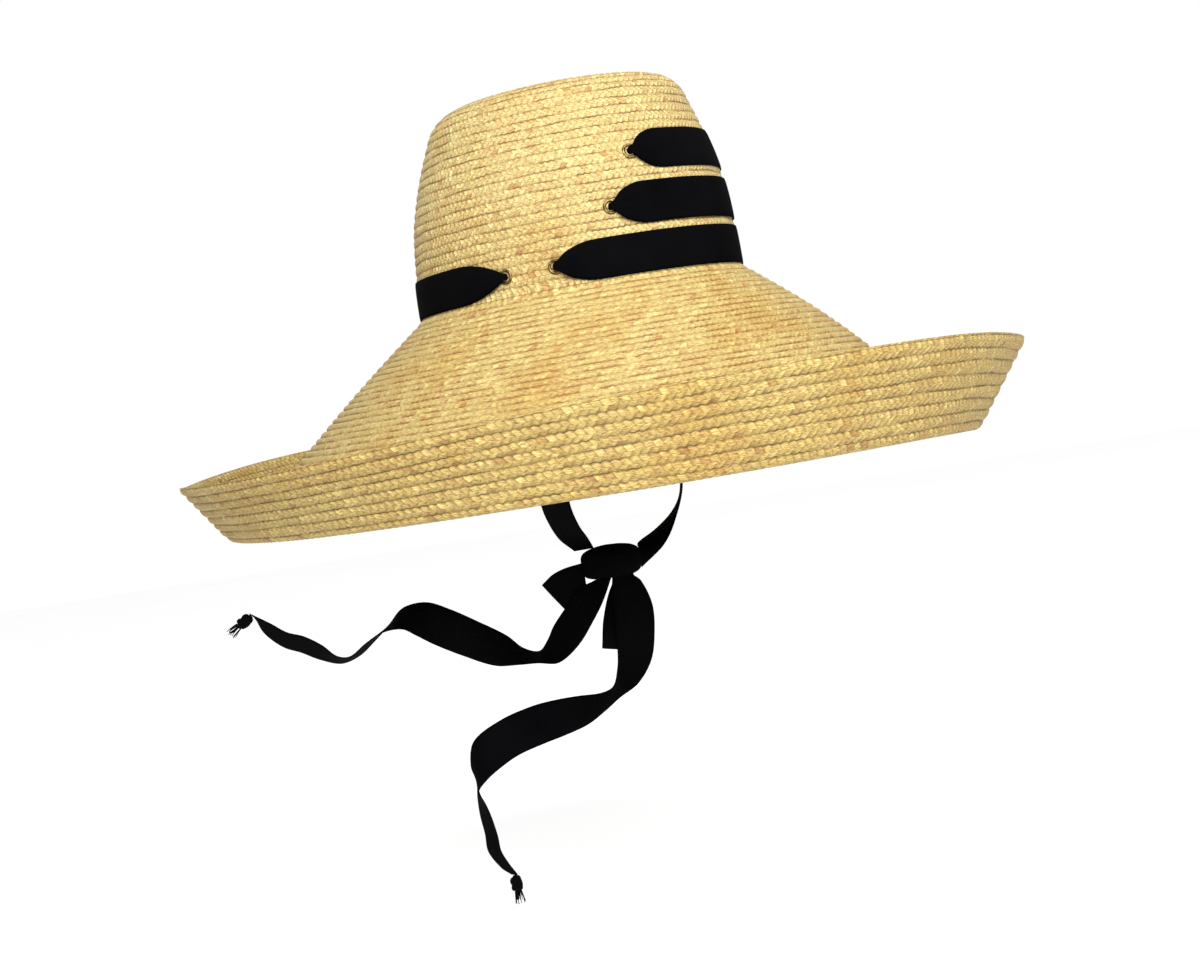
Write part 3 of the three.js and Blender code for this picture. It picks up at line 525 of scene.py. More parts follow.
@dataclass
class Weave:
    """How one region's rows are sewn: seams, plaits in each row and the row's relief."""
    first_seam: int
    last_seam: int
    plait_counts: list
    depth: float
    crest: float
    lump: float
    slope: float
    joined: str = ""

    def runs_on(self, row, across):
        """Whether this half of a row meets the crown's or brim's other straw, with no groove."""
        at_start = self.joined == "start" and row == self.first_seam and across < 0.5
        at_end = self.joined == "end" and row == self.last_seam - 1 and across > 0.5
        return at_start or at_end

    def plaits(self, row):
        return self.plait_counts[min(max(row, 0), len(self.plait_counts) - 1)]

    def seam(self, k, turn):
        if k <= 0 or k >= len(self.plait_counts):
            return k + 0 * turn
        return k + seam_shift(k, turn, self.plaits(k))

    def relief(self, row, across, turn):
        """Height of a row above the even surface, from one seam at 0 to the next at 1."""
        leaning = across ** self.slope
        body = 1.0 if self.runs_on(row, across) else np.sin(math.pi * leaning) ** ROW_ROUNDNESS
        phase = self.plaits(row) * turn / FULL_TURN + ROW_SHIFTS[row]
        strand = phase + STRAND_LEAN * abs(across - 0.5) + 0.5 * (across > 0.5)
        plait = np.cos(FULL_TURN * strand) * math.sin(math.pi * across)
        return -self.depth + (self.depth + self.crest) * body + self.lump * plait

    def skin(self, turns, samples, surface, offset):
        """Points of one side of the rows, and the UVs of their faces' corners."""
        rows = [(k, across) for k in range(self.first_seam, self.last_seam) for across in samples]
        rows.append((self.last_seam - 1, 1.0))
        places = np.array([
            self.seam(k, turns) * (1 - across) + self.seam(k + 1, turns) * across
            for k, across in rows
        ])
        heights = np.array([self.relief(k, across, turns) for k, across in rows])
        points, away = surface(turns[None, :] + 0 * places, places)
        if offset > 0:
            points = points - away * (offset + heights)[..., None]
        else:
            points = points + away * heights[..., None]
        return points, self.corner_uvs(rows, len(turns))

    def corner_uvs(self, rows, columns):
        """UVs: plaits along the row, and the row number plus the share across it."""
        uvs = []
        share = np.arange(columns + 1) / columns
        for i in range(len(rows) - 1):
            k, across = rows[i]
            ahead = rows[i + 1][1] if rows[i + 1][0] == k else 1.0
            across, ahead = [0.5 if self.runs_on(k, s) else s for s in (across, ahead)]
            along = self.plaits(k) * share + UV_SPREAD * ROW_SHIFTS[k]
            uvs.append(row_uvs(along, k + across, k + ahead))
        return np.concatenate(uvs)


def closing_strip(parts, ring_a, ring_b, uv_row, columns, plaits, bulge=0.0):
    """Joins two rings of points, with a rounded edge between them where it shows."""
    share = np.arange(columns)
    following = (share + 1) % columns
    rings = [ring_a]
    if bulge:
        points = np.concatenate(parts.points)
        a = points[ring_a]
        b = points[ring_b]
        outward = unit(a - points[ring_a - columns]) * bulge
        for s in (0.2, 0.5, 0.8):
            lift = math.sin(math.pi * s) ** RIM_ROUNDNESS
            rings.append(parts.add_points(a * (1 - s) + b * s + outward * lift) + share)
    rings.append(ring_b)
    along = plaits * np.arange(columns + 1) / columns
    for i in range(len(rings) - 1):
        low, high = rings[i], rings[i + 1]
        quads = np.stack([low, low[following], high[following], high], axis=-1)
        v = uv_row + 0.3 + 0.4 * i / max(1, len(rings) - 1)
        parts.add_faces(quads, row_uvs(along, v, v + 0.1))


def make_straw_shell(name, straw, weave, turns, surface, outer_samples, inner_samples,
                     rim_bulge=0.0):
    """A closed shell: rows on both sides of the straw, joined at its first and last seam."""
    columns = len(turns)
    parts = MeshParts()
    outer, outer_uv = weave.skin(turns, outer_samples, surface, 0)
    inner, inner_uv = weave.skin(turns, inner_samples, surface, STRAW_WALL)
    start_outer = parts.add_points(outer)
    start_inner = parts.add_points(inner)
    parts.add_faces(grid_faces(start_outer, len(outer), columns), outer_uv)
    parts.add_faces(grid_faces(start_inner, len(inner), columns, flipped=True), inner_uv[:, ::-1])
    ring = np.arange(columns)
    last_outer = start_outer + (len(outer) - 1) * columns
    last_inner = start_inner + (len(inner) - 1) * columns
    plaits = weave.plaits(weave.last_seam - 1)
    closing_strip(
        parts, last_outer + ring, last_inner + ring, weave.last_seam, columns, plaits, rim_bulge
    )
    first_plaits = weave.plaits(weave.first_seam)
    closing_strip(
        parts, start_inner + ring, start_outer + ring, weave.first_seam, columns, first_plaits
    )
    return parts.build(name, "straw", straw)


def even_turns(columns):
    return np.arange(columns) * FULL_TURN / columns


def oval_round(radius):
    """Length round an oval of the crown's proportions, from its longer half."""
    short = radius * CROWN_HALF_WIDTH / CROWN_HALF_LENGTH
    return math.pi * (3 * (radius + short) - math.sqrt((3 * radius + short) * (radius + 3 * short)))


def crown_plaits():
    counts = []
    for k in range(CROWN_ROWS):
        distance = (k + 0.5) * CROWN_DISTANCE[-1] / CROWN_ROWS
        radius = np.interp(distance, CROWN_DISTANCE, CROWN_RADIUS)
        counts.append(max(6, round(oval_round(radius) / CROWN_PLAIT)))
    return counts


def brim_plaits(rows, start, plait):
    """Plaits in each row, from the brim's mean length round at that row."""
    turns = even_turns(48)
    paths = brim_paths(turns)
    counts = []
    for k in range(rows):
        step = round((start + (k + 0.5) / rows) * HALF_STEPS)
        ring = brim_point(turns, paths[:, 0, step], paths[:, 1, step])
        length = np.linalg.norm(ring - np.roll(ring, 1, axis=0), axis=1).sum()
        counts.append(round(length / plait))
    return counts


CROWN_SAMPLES = (0.0, 0.14, 0.42, 0.7, 0.9)
CONE_SAMPLES = (0.0, 0.2, 0.5, 0.82)
EDGE_SAMPLES = (0.0, 0.1, 0.3, 0.5, 0.72, 0.9)
EDGE_INSIDE_SAMPLES = (0.0, 0.25, 0.6)
COARSE_SAMPLES = (0.0, 0.5)
RIM_BULGE = 0.9

# Relief of a row: depth of its seams, height of its crest, lumps of its plaits, and the
# power that moves the crest off the row's middle.
CROWN_RELIEF = {"depth": 0.55, "crest": 0.25, "lump": 0.1, "slope": 1.25}
CONE_RELIEF = {"depth": 1.2, "crest": 0.3, "lump": 0.1, "slope": 0.9}
EDGE_RELIEF = {"depth": 0.75, "crest": 0.4, "lump": 0.2, "slope": 1.15}


def make_crown():
    counts = crown_plaits()
    tip = Weave(0, TIP_ROWS, counts, **CROWN_RELIEF)
    side = Weave(TIP_ROWS, CROWN_ROWS, counts, **CROWN_RELIEF, joined="end")
    for name, weave, columns in (("crown_tip", tip, 420), ("crown_side", side, 560)):
        shell = make_straw_shell(name, "crown_straw", weave, even_turns(columns), crown_surface,
                                 CROWN_SAMPLES, COARSE_SAMPLES)
        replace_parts(shell, "crown")


def make_brim():
    counts = brim_plaits(CONE_ROWS, 0, CONE_PLAIT)
    third = CONE_ROWS // 3
    for i, (part, columns) in enumerate((("upper", 760), ("middle", 960), ("lower", 1150))):
        turns = even_turns(columns)
        weave = Weave(i * third, (i + 1) * third, counts, **CONE_RELIEF,
                      joined="start" if i == 0 else "")
        on_cone = brim_surface_for(turns, 0, CONE_ROWS)
        shell = make_straw_shell("cone_" + part, "cone_straw", weave, turns, on_cone,
                                 CONE_SAMPLES, COARSE_SAMPLES)
        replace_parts(shell, "brim")
    turns = even_turns(1280)
    weave = Weave(0, EDGE_ROWS, brim_plaits(EDGE_ROWS, 1, EDGE_PLAIT), **EDGE_RELIEF)
    on_edge = brim_surface_for(turns, 1, EDGE_ROWS)
    shell = make_straw_shell("brim_edge", "edge_straw", weave, turns, on_edge,
                             EDGE_INSIDE_SAMPLES, EDGE_SAMPLES, RIM_BULGE)
    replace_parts(shell, "brim")


# Ribbon

STRIP_SHARES = np.linspace(-0.5, 0.5, 13)
STRIP_EDGE = 0.28
WALL_EDGE = 0.22
WALL_PLEATS = 3.5
GATHER_PLEAT = 0.45
NECK_WIDTH = 1.38 * EYELET_HOLE_RADIUS
NECK_THICK = 1.09 * EYELET_HOLE_RADIUS


def strip_ring(centre, across, facing, width, thick):
    """A ribbon's section as a ring of points, thinner at its edges."""
    shares = STRIP_SHARES[:, None]
    round_share = np.sqrt(np.clip(1 - (2 * shares) ** 2, 0, 1))
    half = thick * (STRIP_EDGE + (0.5 - STRIP_EDGE) * round_share)
    middle = centre + across * shares * width
    return np.concatenate([middle - facing * half, (middle + facing * half)[::-1]])


def wall_ring(turn, height, width, thick, lift, pleat):
    """A section lying on the crown's wall, pleated where the ribbon is gathered."""
    _, _, up, _ = wall_frame(turn, height)
    heights = height + STRIP_SHARES * width * up[2]
    point, _, _, out = wall_frame(turn + 0 * heights, heights)
    crown = RIBBON_CROWN * (1 - (2 * STRIP_SHARES) ** 2)
    fold = pleat * (1 - np.cos(FULL_TURN * WALL_PLEATS * (STRIP_SHARES + 0.5)))
    edge = WALL_EDGE * thick * (np.abs(STRIP_SHARES) > 0.49)
    under = point + out * (lift + crown + 0.5 * fold + edge)[:, None]
    over = point + out * (lift + crown + thick + fold - edge)[:, None]
    return np.concatenate([over, under[::-1]])


def smooth_rings(rings, steps):
    """More rings between the given ones, on smooth curves through their points."""
    rings = np.array(rings)
    before = np.concatenate([rings[:1], rings[:-1]])
    after = np.concatenate([rings[1:], rings[-1:]])
    gaps = np.linalg.norm((rings[1:] - rings[:-1]).mean(axis=1), axis=-1)
    spans = np.concatenate([gaps[:1], gaps[:-1] + gaps[1:], gaps[-1:]])
    slopes = (after - before) / spans[:, None, None]
    out = [
        glide(step / steps, rings[i], rings[i + 1], slopes[i] * gap, slopes[i + 1] * gap)
        for i, gap in enumerate(gaps)
        for step in range(steps)
    ]
    return np.array(out + [rings[-1]])


def make_ribbon(name, rings, steps, width=RIBBON_WIDTH):
    """A closed strip on smooth curves through the rings, its UVs measured across its cut width."""
    rings = smooth_rings(rings, steps)
    count, size = rings.shape[:2]
    half = size // 2
    parts = MeshParts()
    start = parts.add_points(rings)
    middle = rings.mean(axis=1)
    along = np.concatenate([[0], np.cumsum(np.linalg.norm(np.diff(middle, axis=0), axis=1))])
    across = np.concatenate([STRIP_SHARES, STRIP_SHARES[::-1], STRIP_SHARES[:1]]) * width
    quads = grid_faces(start, count, size)
    uvs = grid_uvs(along, across) * MM
    first = rings[0]
    outwards = np.cross(first[1] - first[0], rings[1, 0] - first[0]) @ (first[0] - first[-1])
    flipped = outwards < 0
    parts.add_faces(quads[:, ::-1] if flipped else quads, uvs[:, ::-1] if flipped else uvs)
    for ring, reverse in ((0, not flipped), (count - 1, flipped)):
        cap = start + ring * size + np.arange(size)
        top, under = cap[:half], cap[::-1][:half]
        strip = np.stack([top[:-1], top[1:], under[1:], under[:-1]], axis=-1)
        parts.add_faces(strip[:, ::-1] if reverse else strip, np.zeros((half - 1, 4, 2)))
    piece = parts.build(name + "_ribbon", "ribbon")
    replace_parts(piece, name)


def band_half(row, towards):
    """Rings of half a band, from inside its left eyelet, out and round to the middle."""
    start = math.radians(row["turn"])
    point, round_way, up, out = wall_frame(start, row["height"])
    along = round_way * towards
    bend = 0.5 * NECK_THICK + GAP
    halfway = math.sqrt(0.5)
    neck = (
        (NECK_END, 0, along, 1, 1),
        (EYELET_TOP, 0, along, 1, 1),
        (EYELET_TOP + bend * halfway, bend * (1 - halfway), unit(along - out), 1.2, 0.85),
        (EYELET_TOP + GAP + 0.4 * NECK_THICK, bend, -out, 1.6, 0.7),
    )
    rings = [
        strip_ring(point + out * level + along * shift, up, facing, width * NECK_WIDTH,
                   thick * NECK_THICK)
        for level, shift, facing, width, thick in neck
    ]
    reach = row["gather"] / math.hypot(point[0], point[1])
    full_width = row["spread"] * RIBBON_WIDTH
    for at, width, thick, lift in zip(*GATHER_SECTIONS.values()):
        rings.append(wall_ring(
            start + towards * at * reach, row["height"], width * full_width, thick * RIBBON_THICK,
            RIBBON_LIFT + lift * (EYELET_TOP + GAP - RIBBON_LIFT), GATHER_PLEAT * (1 - at),
        ))
    spread = start + towards * reach
    middle = math.pi if towards > 0 else 0.0
    steps = max(2, round(abs(middle - spread) / math.radians(4)))
    for turn in np.linspace(spread, middle, steps + 1)[1:]:
        rings.append(wall_ring(turn, row["height"], full_width, RIBBON_THICK, RIBBON_LIFT, 0.0))
    return rings


def make_band(name, row, towards):
    left = band_half(row, towards)
    mirrored = [ring * np.array([-1, 1, 1]) for ring in left[:-1]]
    width = row["spread"] * RIBBON_WIDTH
    make_ribbon(name, left + mirrored[::-1], 3, width)


def eyelet_frame(row, side):
    frame = wall_frame(math.radians(row["turn"]), row["height"])
    mirror = np.array([side, 1, 1])
    return [vector * mirror for vector in frame]


LACE_FOLDS = 3
LACE_CLOTH = 0.85
INSIDE_LEVEL = NECK_END - GAP - 0.5 * RIBBON_THICK


def make_lace(name, side):
    """The ribbon behind one side's three eyelets, pleated inside the crown."""
    stops = [EYELET_ROWS[key] for key in ("low", "mid", "top")]
    turns, heights, widths = [], [], []
    steps = 5
    for k, (low, high) in enumerate(zip(stops, stops[1:])):
        for i in range(min(k, 1), steps + 1):
            share = i / steps
            turns.append(math.radians(low["turn"] + (high["turn"] - low["turn"]) * share))
            heights.append(low["height"] + (high["height"] - low["height"]) * share)
            widths.append(RIBBON_WIDTH * (LACE_END_WIDTH + LACE_SPREAD * math.sin(math.pi * share)))
    point, _, _, out = wall_frame(np.array(turns), np.array(heights))
    centres = point + out * INSIDE_LEVEL
    last = len(centres) - 1
    folds = 0.5 - 0.5 * np.cos(FULL_TURN * LACE_FOLDS * (STRIP_SHARES + 0.5))
    folds = np.concatenate([folds, folds[::-1]])[:, None]
    rings = []
    for i, (centre, away, width) in enumerate(zip(centres, out, widths)):
        along = unit(centres[min(i + 1, last)] - centres[max(i - 1, 0)])
        across = unit(np.cross(along, away))
        centre = centre + along * {0: -1, last: 1}.get(i, 0) * EYELET_HOLE_RADIUS
        ring = strip_ring(centre, across, np.cross(across, along), width, RIBBON_THICK)
        gathered = math.sqrt((LACE_CLOTH * RIBBON_WIDTH) ** 2 - width ** 2)
        rings.append((ring - away * folds * gathered / (2 * LACE_FOLDS)) * np.array([side, 1, 1]))
    make_ribbon(name, rings, 4)


BOW_RIGHT = np.array([math.cos(BOW_FACING), math.sin(BOW_FACING), 0.0])
BOW_TOWARD = np.array([math.sin(BOW_FACING), -math.cos(BOW_FACING), 0.0])
BOW_UP = np.array([0.0, 0.0, 1.0])
KNOT_CENTRE = BOW_RIGHT * KNOT_ACROSS - BOW_UP * KNOT_DROP


def bow_point(right, up, toward):
    return KNOT_CENTRE + BOW_RIGHT * right + BOW_UP * up + BOW_TOWARD * toward


def turned(vector, axis, angle):
    """A vector turned about an axis."""
    spin = np.cross(axis, vector) * math.sin(angle)
    return vector * math.cos(angle) + spin + axis * (axis @ vector) * (1 - math.cos(angle))


def rings_along(points, sections, reference, end_direction=None):
    """A ribbon's sections along a path, each turned about it by its own angle."""
    rings = []
    final = len(points) - 1
    for i, point in enumerate(points):
        along = unit(points[min(i + 1, final)] - points[max(i - 1, 0)])
        if end_direction is not None and i == final:
            along = end_direction
        flat = unit(np.cross(along, reference))
        across = turned(flat, along, math.radians(sections["turn"][i]))
        facing = unit(np.cross(across, along))
        rings.append(strip_ring(point, across, facing, sections["width"][i] * RIBBON_WIDTH,
                                RIBBON_THICK))
    return rings


def make_tie(name, sections, side, entry, entry_across, entry_facing):
    point, _, up, out = eyelet_frame(EYELET_ROWS["front"], side)
    top = point + out * INSIDE_LEVEL + up * EYELET_HOLE_RADIUS
    points = []
    for at, outward, bulge in zip(sections["at"], sections["out"], sections["bulge"]):
        place = entry * (1 - outward) + top * outward
        place[2] = top[2] + (entry[2] - top[2]) * at
        points.append(place + BOW_RIGHT * bulge * TIE_BULGE)
    rings = rings_along(points, sections, unit(out * np.array([1, 1, 0])))
    width = sections["width"][-1] * RIBBON_WIDTH
    rings[-1] = strip_ring(entry, entry_across, entry_facing, width, 2 * RIBBON_THICK)
    make_ribbon(name, rings, 8)


def tail_points(tail):
    sections = tail["sections"]
    return [
        bow_point(
            tail["from_right"] * KNOT_WIDTH + right * tail["length"],
            -0.5 * KNOT_HEIGHT - GAP + up * tail["length"],
            tail["from_toward"] * KNOT_DEPTH + toward * RIBBON_WIDTH,
        )
        for right, up, toward in zip(sections["right"], sections["up"], sections["toward"])
    ]


def tail_end_direction(tail):
    return unit(BOW_RIGHT * tail["end_right"] + BOW_UP * tail["end_up"])


def make_tail(name, tail):
    points = tail_points(tail)
    sections = tail["sections"]
    rings = rings_along(points, sections, BOW_TOWARD, tail_end_direction(tail))
    width = sections["width"][0] * RIBBON_WIDTH
    rings[0] = strip_ring(points[0], -BOW_RIGHT, BOW_TOWARD, width, 2 * RIBBON_THICK)
    make_ribbon(name, rings, 8)


def make_loop(name, length, start, face_normal, swing):
    run = turned(-BOW_UP, BOW_TOWARD, swing)
    across = unit(np.cross(run, BOW_TOWARD))
    across_face = np.cross(face_normal, BOW_TOWARD)
    centres = [
        start + run * along * length + BOW_TOWARD * toward * RIBBON_WIDTH
        for along, toward in zip(LOOP_SECTIONS["along"], LOOP_SECTIONS["toward"])
    ]
    rings = []
    for i, width in enumerate(LOOP_SECTIONS["width"] * RIBBON_WIDTH):
        if i in (0, len(centres) - 1):
            facing = BOW_TOWARD if i == 0 else -BOW_TOWARD
            rings.append(strip_ring(centres[i], across_face, facing, width, RIBBON_THICK))
            continue
        facing = unit(np.cross(across, unit(centres[i + 1] - centres[i - 1])))
        rings.append(strip_ring(centres[i], across, facing, width, RIBBON_THICK))
    make_ribbon(name, rings, 8)


KNOT_COVER = 1.3
KNOT_SQUARENESS = 0.8
KNOT_ROUNDNESS = 0.42
KNOT_RIDGES = 0.035
KNOT_CREASES = 0.03


def make_knot():
    """The bow's knot: a rounded bundle of wrapped ribbon, drawn tight over the ribbons' ends."""
    parts = MeshParts()
    around, along = 96, 64
    angle = even_turns(around)
    waves = (np.sin(angle), np.cos(angle))
    sides = [np.sign(wave) * np.abs(wave) ** KNOT_SQUARENESS for wave in waves]
    points = []
    for share in np.arange(along + 1) / along:
        x = -math.cos(math.pi * share)
        profile = math.sin(math.pi * share) ** KNOT_ROUNDNESS
        crease = 0.5 * math.sin(7 * x + 0.6) + 0.35 * math.sin(15 * x)
        folds = KNOT_RIDGES * np.sin(5 * angle + 3 * x)
        uneven = 1 + folds + KNOT_CREASES * crease * np.cos(2 * angle + 1.2)
        up, toward = [side * profile * uneven for side in sides]
        points.append(
            KNOT_CENTRE + BOW_RIGHT * (0.5 * KNOT_WIDTH + KNOT_COVER) * x
            + BOW_UP * (0.5 * KNOT_HEIGHT + KNOT_COVER) * up[:, None]
            + BOW_TOWARD * (0.5 * KNOT_DEPTH + KNOT_COVER) * toward[:, None]
        )
    start = parts.add_points(np.array(points[1:-1]))
    rows = along - 1
    uvs = grid_uvs(np.arange(rows), np.arange(around + 1)) * 0.6 * MM
    parts.add_faces(grid_faces(start, rows, around), uvs)
    for ring, pole, reverse in ((0, points[0][0], True), (rows - 1, points[-1][0], False)):
        centre = parts.add_points(pole)
        rim = start + ring * around + np.arange(around)
        fan = np.stack([np.roll(rim, -1), np.full(around, centre), rim], axis=-1)
        parts.add_faces(fan[:, ::-1] if reverse else fan, np.zeros((around, 3, 2)))
    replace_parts(parts.build("bow_knot_ribbon", "ribbon"), "bow_knot")


def add_tube(parts, path, radii, sides):
    """A closed round tube along a path, with flat ends."""
    path = np.array(path)
    angle = even_turns(sides)
    last = len(path) - 1
    side_way = np.array([0.31, 0.52, 0.79])
    rings = []
    for i, radius in enumerate(radii):
        along = unit(path[min(i + 1, last)] - path[max(i - 1, 0)])
        if i == 0:
            side_way = unit(np.cross(along, side_way))
        side_way = unit(side_way - along * (side_way @ along))
        other = np.cross(along, side_way)
        ring = side_way * np.cos(angle)[:, None] + other * np.sin(angle)[:, None]
        rings.append(path[i] + ring * radius)
    start = parts.add_points(np.array(rings))
    uvs = grid_uvs(np.arange(last + 1), np.arange(sides + 1)) * MM
    parts.add_faces(grid_faces(start, last + 1, sides), uvs)
    for ring, order in ((0, -1), (last, 1)):
        cap = start + ring * sides + np.arange(sides)
        parts.add_faces(cap[None, ::order], np.zeros((1, sides, 2)))


WRAP_TURNS = 1.7
WRAP_SWING = 0.28
THREAD_ROOT = 0.34
THREAD_TIP = 0.2


def make_tail_knot(name, tail, seed):
    """A small overhand knot at a tail's end, with the ribbon's frayed threads below it."""
    random = np.random.default_rng(seed)
    end = tail_points(tail)[-1]
    down = tail_end_direction(tail)
    side_way = unit(np.cross(down, BOW_TOWARD))
    parts = MeshParts()
    radius = 0.5 * TAIL_KNOT_WIDTH
    middle = end + down * (GAP + 0.5 * TAIL_KNOT_LENGTH)
    turns = np.linspace(0, WRAP_TURNS * FULL_TURN, 44)
    wrap = [
        middle + side_way * math.cos(t) * 0.5 * radius + BOW_TOWARD * math.sin(t) * 0.5 * radius
        + down * (WRAP_SWING * TAIL_KNOT_LENGTH * math.cos(1.5 * t + 0.4))
        for t in turns
    ]
    add_tube(parts, wrap, 0.4 * radius * (1 + 0.15 * np.sin(5 * turns)), 12)
    core = [middle + down * s * TAIL_KNOT_LENGTH for s in (-0.48, -0.25, 0.0, 0.25, 0.45)]
    add_tube(parts, core, np.array([0.35, 0.5, 0.62, 0.5, 0.4]) * radius, 12)
    fringe_start = end + down * (GAP + 0.9 * TAIL_KNOT_LENGTH)
    for _ in range(FRINGE_THREADS):
        sideways = random.uniform(-0.5, 0.5)
        toward = random.uniform(-0.3, 0.3)
        length = FRINGE_LENGTH * random.uniform(0.55, 1.05)
        bend = random.uniform(-1.2, 1.2)
        root = fringe_start + (side_way * sideways + BOW_TOWARD * toward) * radius
        path = [
            root + down * length * s + side_way * (sideways * 2.2 * s + bend * s * s)
            + BOW_TOWARD * toward * 2 * s
            for s in np.linspace(0, 1, 6)
        ]
        add_tube(parts, path, np.linspace(THREAD_ROOT, THREAD_TIP, len(path)), 6)
    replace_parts(parts.build(name + "_ribbon", "ribbon"), name)


# Eyelets

LIP_ROUNDNESS = 0.8


def eyelet_profile():
    """Radius and level along the bore, round a closed section with rolled lips."""
    def lip(start, end, level, rise, count):
        middle, half = 0.5 * (start + end), 0.5 * (end - start)
        return [
            (middle - half * math.cos(a), level + rise * math.sin(a) ** LIP_ROUNDNESS)
            for a in np.linspace(0.05, math.pi - 0.05, count)
        ]

    bore = EYELET_HOLE_RADIUS
    barrel = bore + EYELET_BARREL_THICK
    inside = -STRAW_WALL - GAP
    top = lip(bore, EYELET_FLANGE_RADIUS, GAP, EYELET_FLANGE_THICK, 11)
    low = lip(EYELET_INNER_RADIUS, bore, inside, -EYELET_FLANGE_THICK, 9)
    corners = [
        (EYELET_FLANGE_RADIUS, GAP), (barrel, GAP), (barrel, inside), (EYELET_INNER_RADIUS, inside),
    ]
    return top + corners + low


def make_eyelet(name, row, side):
    point, _, up, out = eyelet_frame(row, side)
    columns = 40
    angle = even_turns(columns)
    ring = up * np.cos(angle)[:, None] + np.cross(out, up) * np.sin(angle)[:, None]
    rows = [point + ring * radius + out * level for radius, level in eyelet_profile()]
    parts = MeshParts()
    parts.add_points(np.array(rows))
    quads = grid_faces(0, len(rows) + 1, columns) % (len(rows) * columns)
    parts.add_faces(quads, np.zeros((len(quads), 4, 2)))
    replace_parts(parts.build(name + "_ring", "eyelet"), name)


# Materials

class Nodes:
    """Short ways to add and join a material's nodes."""

    def __init__(self, name):
        self.material = bpy.data.materials.new(name)
        self.material.use_nodes = True
        self.tree = self.material.node_tree

    def join(self, value, socket):
        """Gives a socket another node's output, a number, or a screen colour."""
        if isinstance(value, bpy.types.NodeSocket):
            self.tree.links.new(value, socket)
        else:
            socket.default_value = linear(value) if isinstance(value, tuple) else value

    def feed(self, node, inputs):
        for name, value in inputs.items():
            self.join(value, node.inputs[name.replace("_", " ")])
        return node

    def node(self, kind, **inputs):
        return self.feed(self.tree.nodes.new("ShaderNode" + kind), inputs)

    def math(self, operation, *values):
        made = self.node("Math")
        made.operation = operation
        for value, socket in zip(values, made.inputs):
            self.join(value, socket)
        return made.outputs[0]

    def plus(self, a, b):
        return self.math("ADD", a, b)

    def times(self, a, b):
        return self.math("MULTIPLY", a, b)

    def smooth(self, value, low, high):
        made = self.node("MapRange", Value=value, From_Min=low, From_Max=high)
        made.interpolation_type = "SMOOTHSTEP"
        return made.outputs["Result"]

    def uv(self):
        return self.node("SeparateXYZ", Vector=self.node("UVMap").outputs["UV"]).outputs[:2]

    def combine(self, x, y, z):
        return self.node("CombineXYZ", X=x, Y=y, Z=z).outputs[0]

    def noise(self, scale, detail, vector=None):
        vector = vector or self.node("TexCoord").outputs["Object"]
        return self.node("TexNoise", Scale=scale, Detail=detail, Vector=vector).outputs["Fac"]

    def ramp(self, value, stops):
        made = self.node("ValToRGB", Fac=value)
        elements = made.color_ramp.elements
        while len(elements) < len(stops):
            elements.new(0.5)
        for element, (place, colour) in zip(elements, stops):
            element.position = place
            element.color = linear(colour)
        return made.outputs["Color"]

    def mix(self, factor, a, b, blend="MIX"):
        made = self.node("Mix")
        made.data_type = "RGBA"
        made.blend_type = blend
        self.join(factor, made.inputs["Factor"])
        for value, socket in zip((a, b), [s for s in made.inputs if s.type == "RGBA"]):
            self.join(value, socket)
        return [s for s in made.outputs if s.type == "RGBA"][0]

    def bump(self, height, strength, distance):
        made = self.node("Bump", Height=height, Strength=strength, Distance=distance)
        return made.outputs["Normal"]

    def finish(self, **inputs):
        """Joins the shader's own inputs, and gives the finished material."""
        self.feed(self.tree.nodes["Principled BSDF"], inputs)
        return self.material


def linear(colour):
    """Screen colour from 0 to 255 as linear light from 0 to 1, opaque."""
    light = [((c / 255 + 0.055) / 1.055) ** 2.4 if c > 10 else c / 255 / 12.92 for c in colour]
    return (*light, 1.0)


WARM_PATCH = (238, 210, 152)
DARK_FIBRE = (150, 116, 70)
PALE_FIBRE = (255, 250, 218)
# Colour of the painted shade in the gaps between plaited strands.
PLAIT_SHADE = (128, 92, 50)


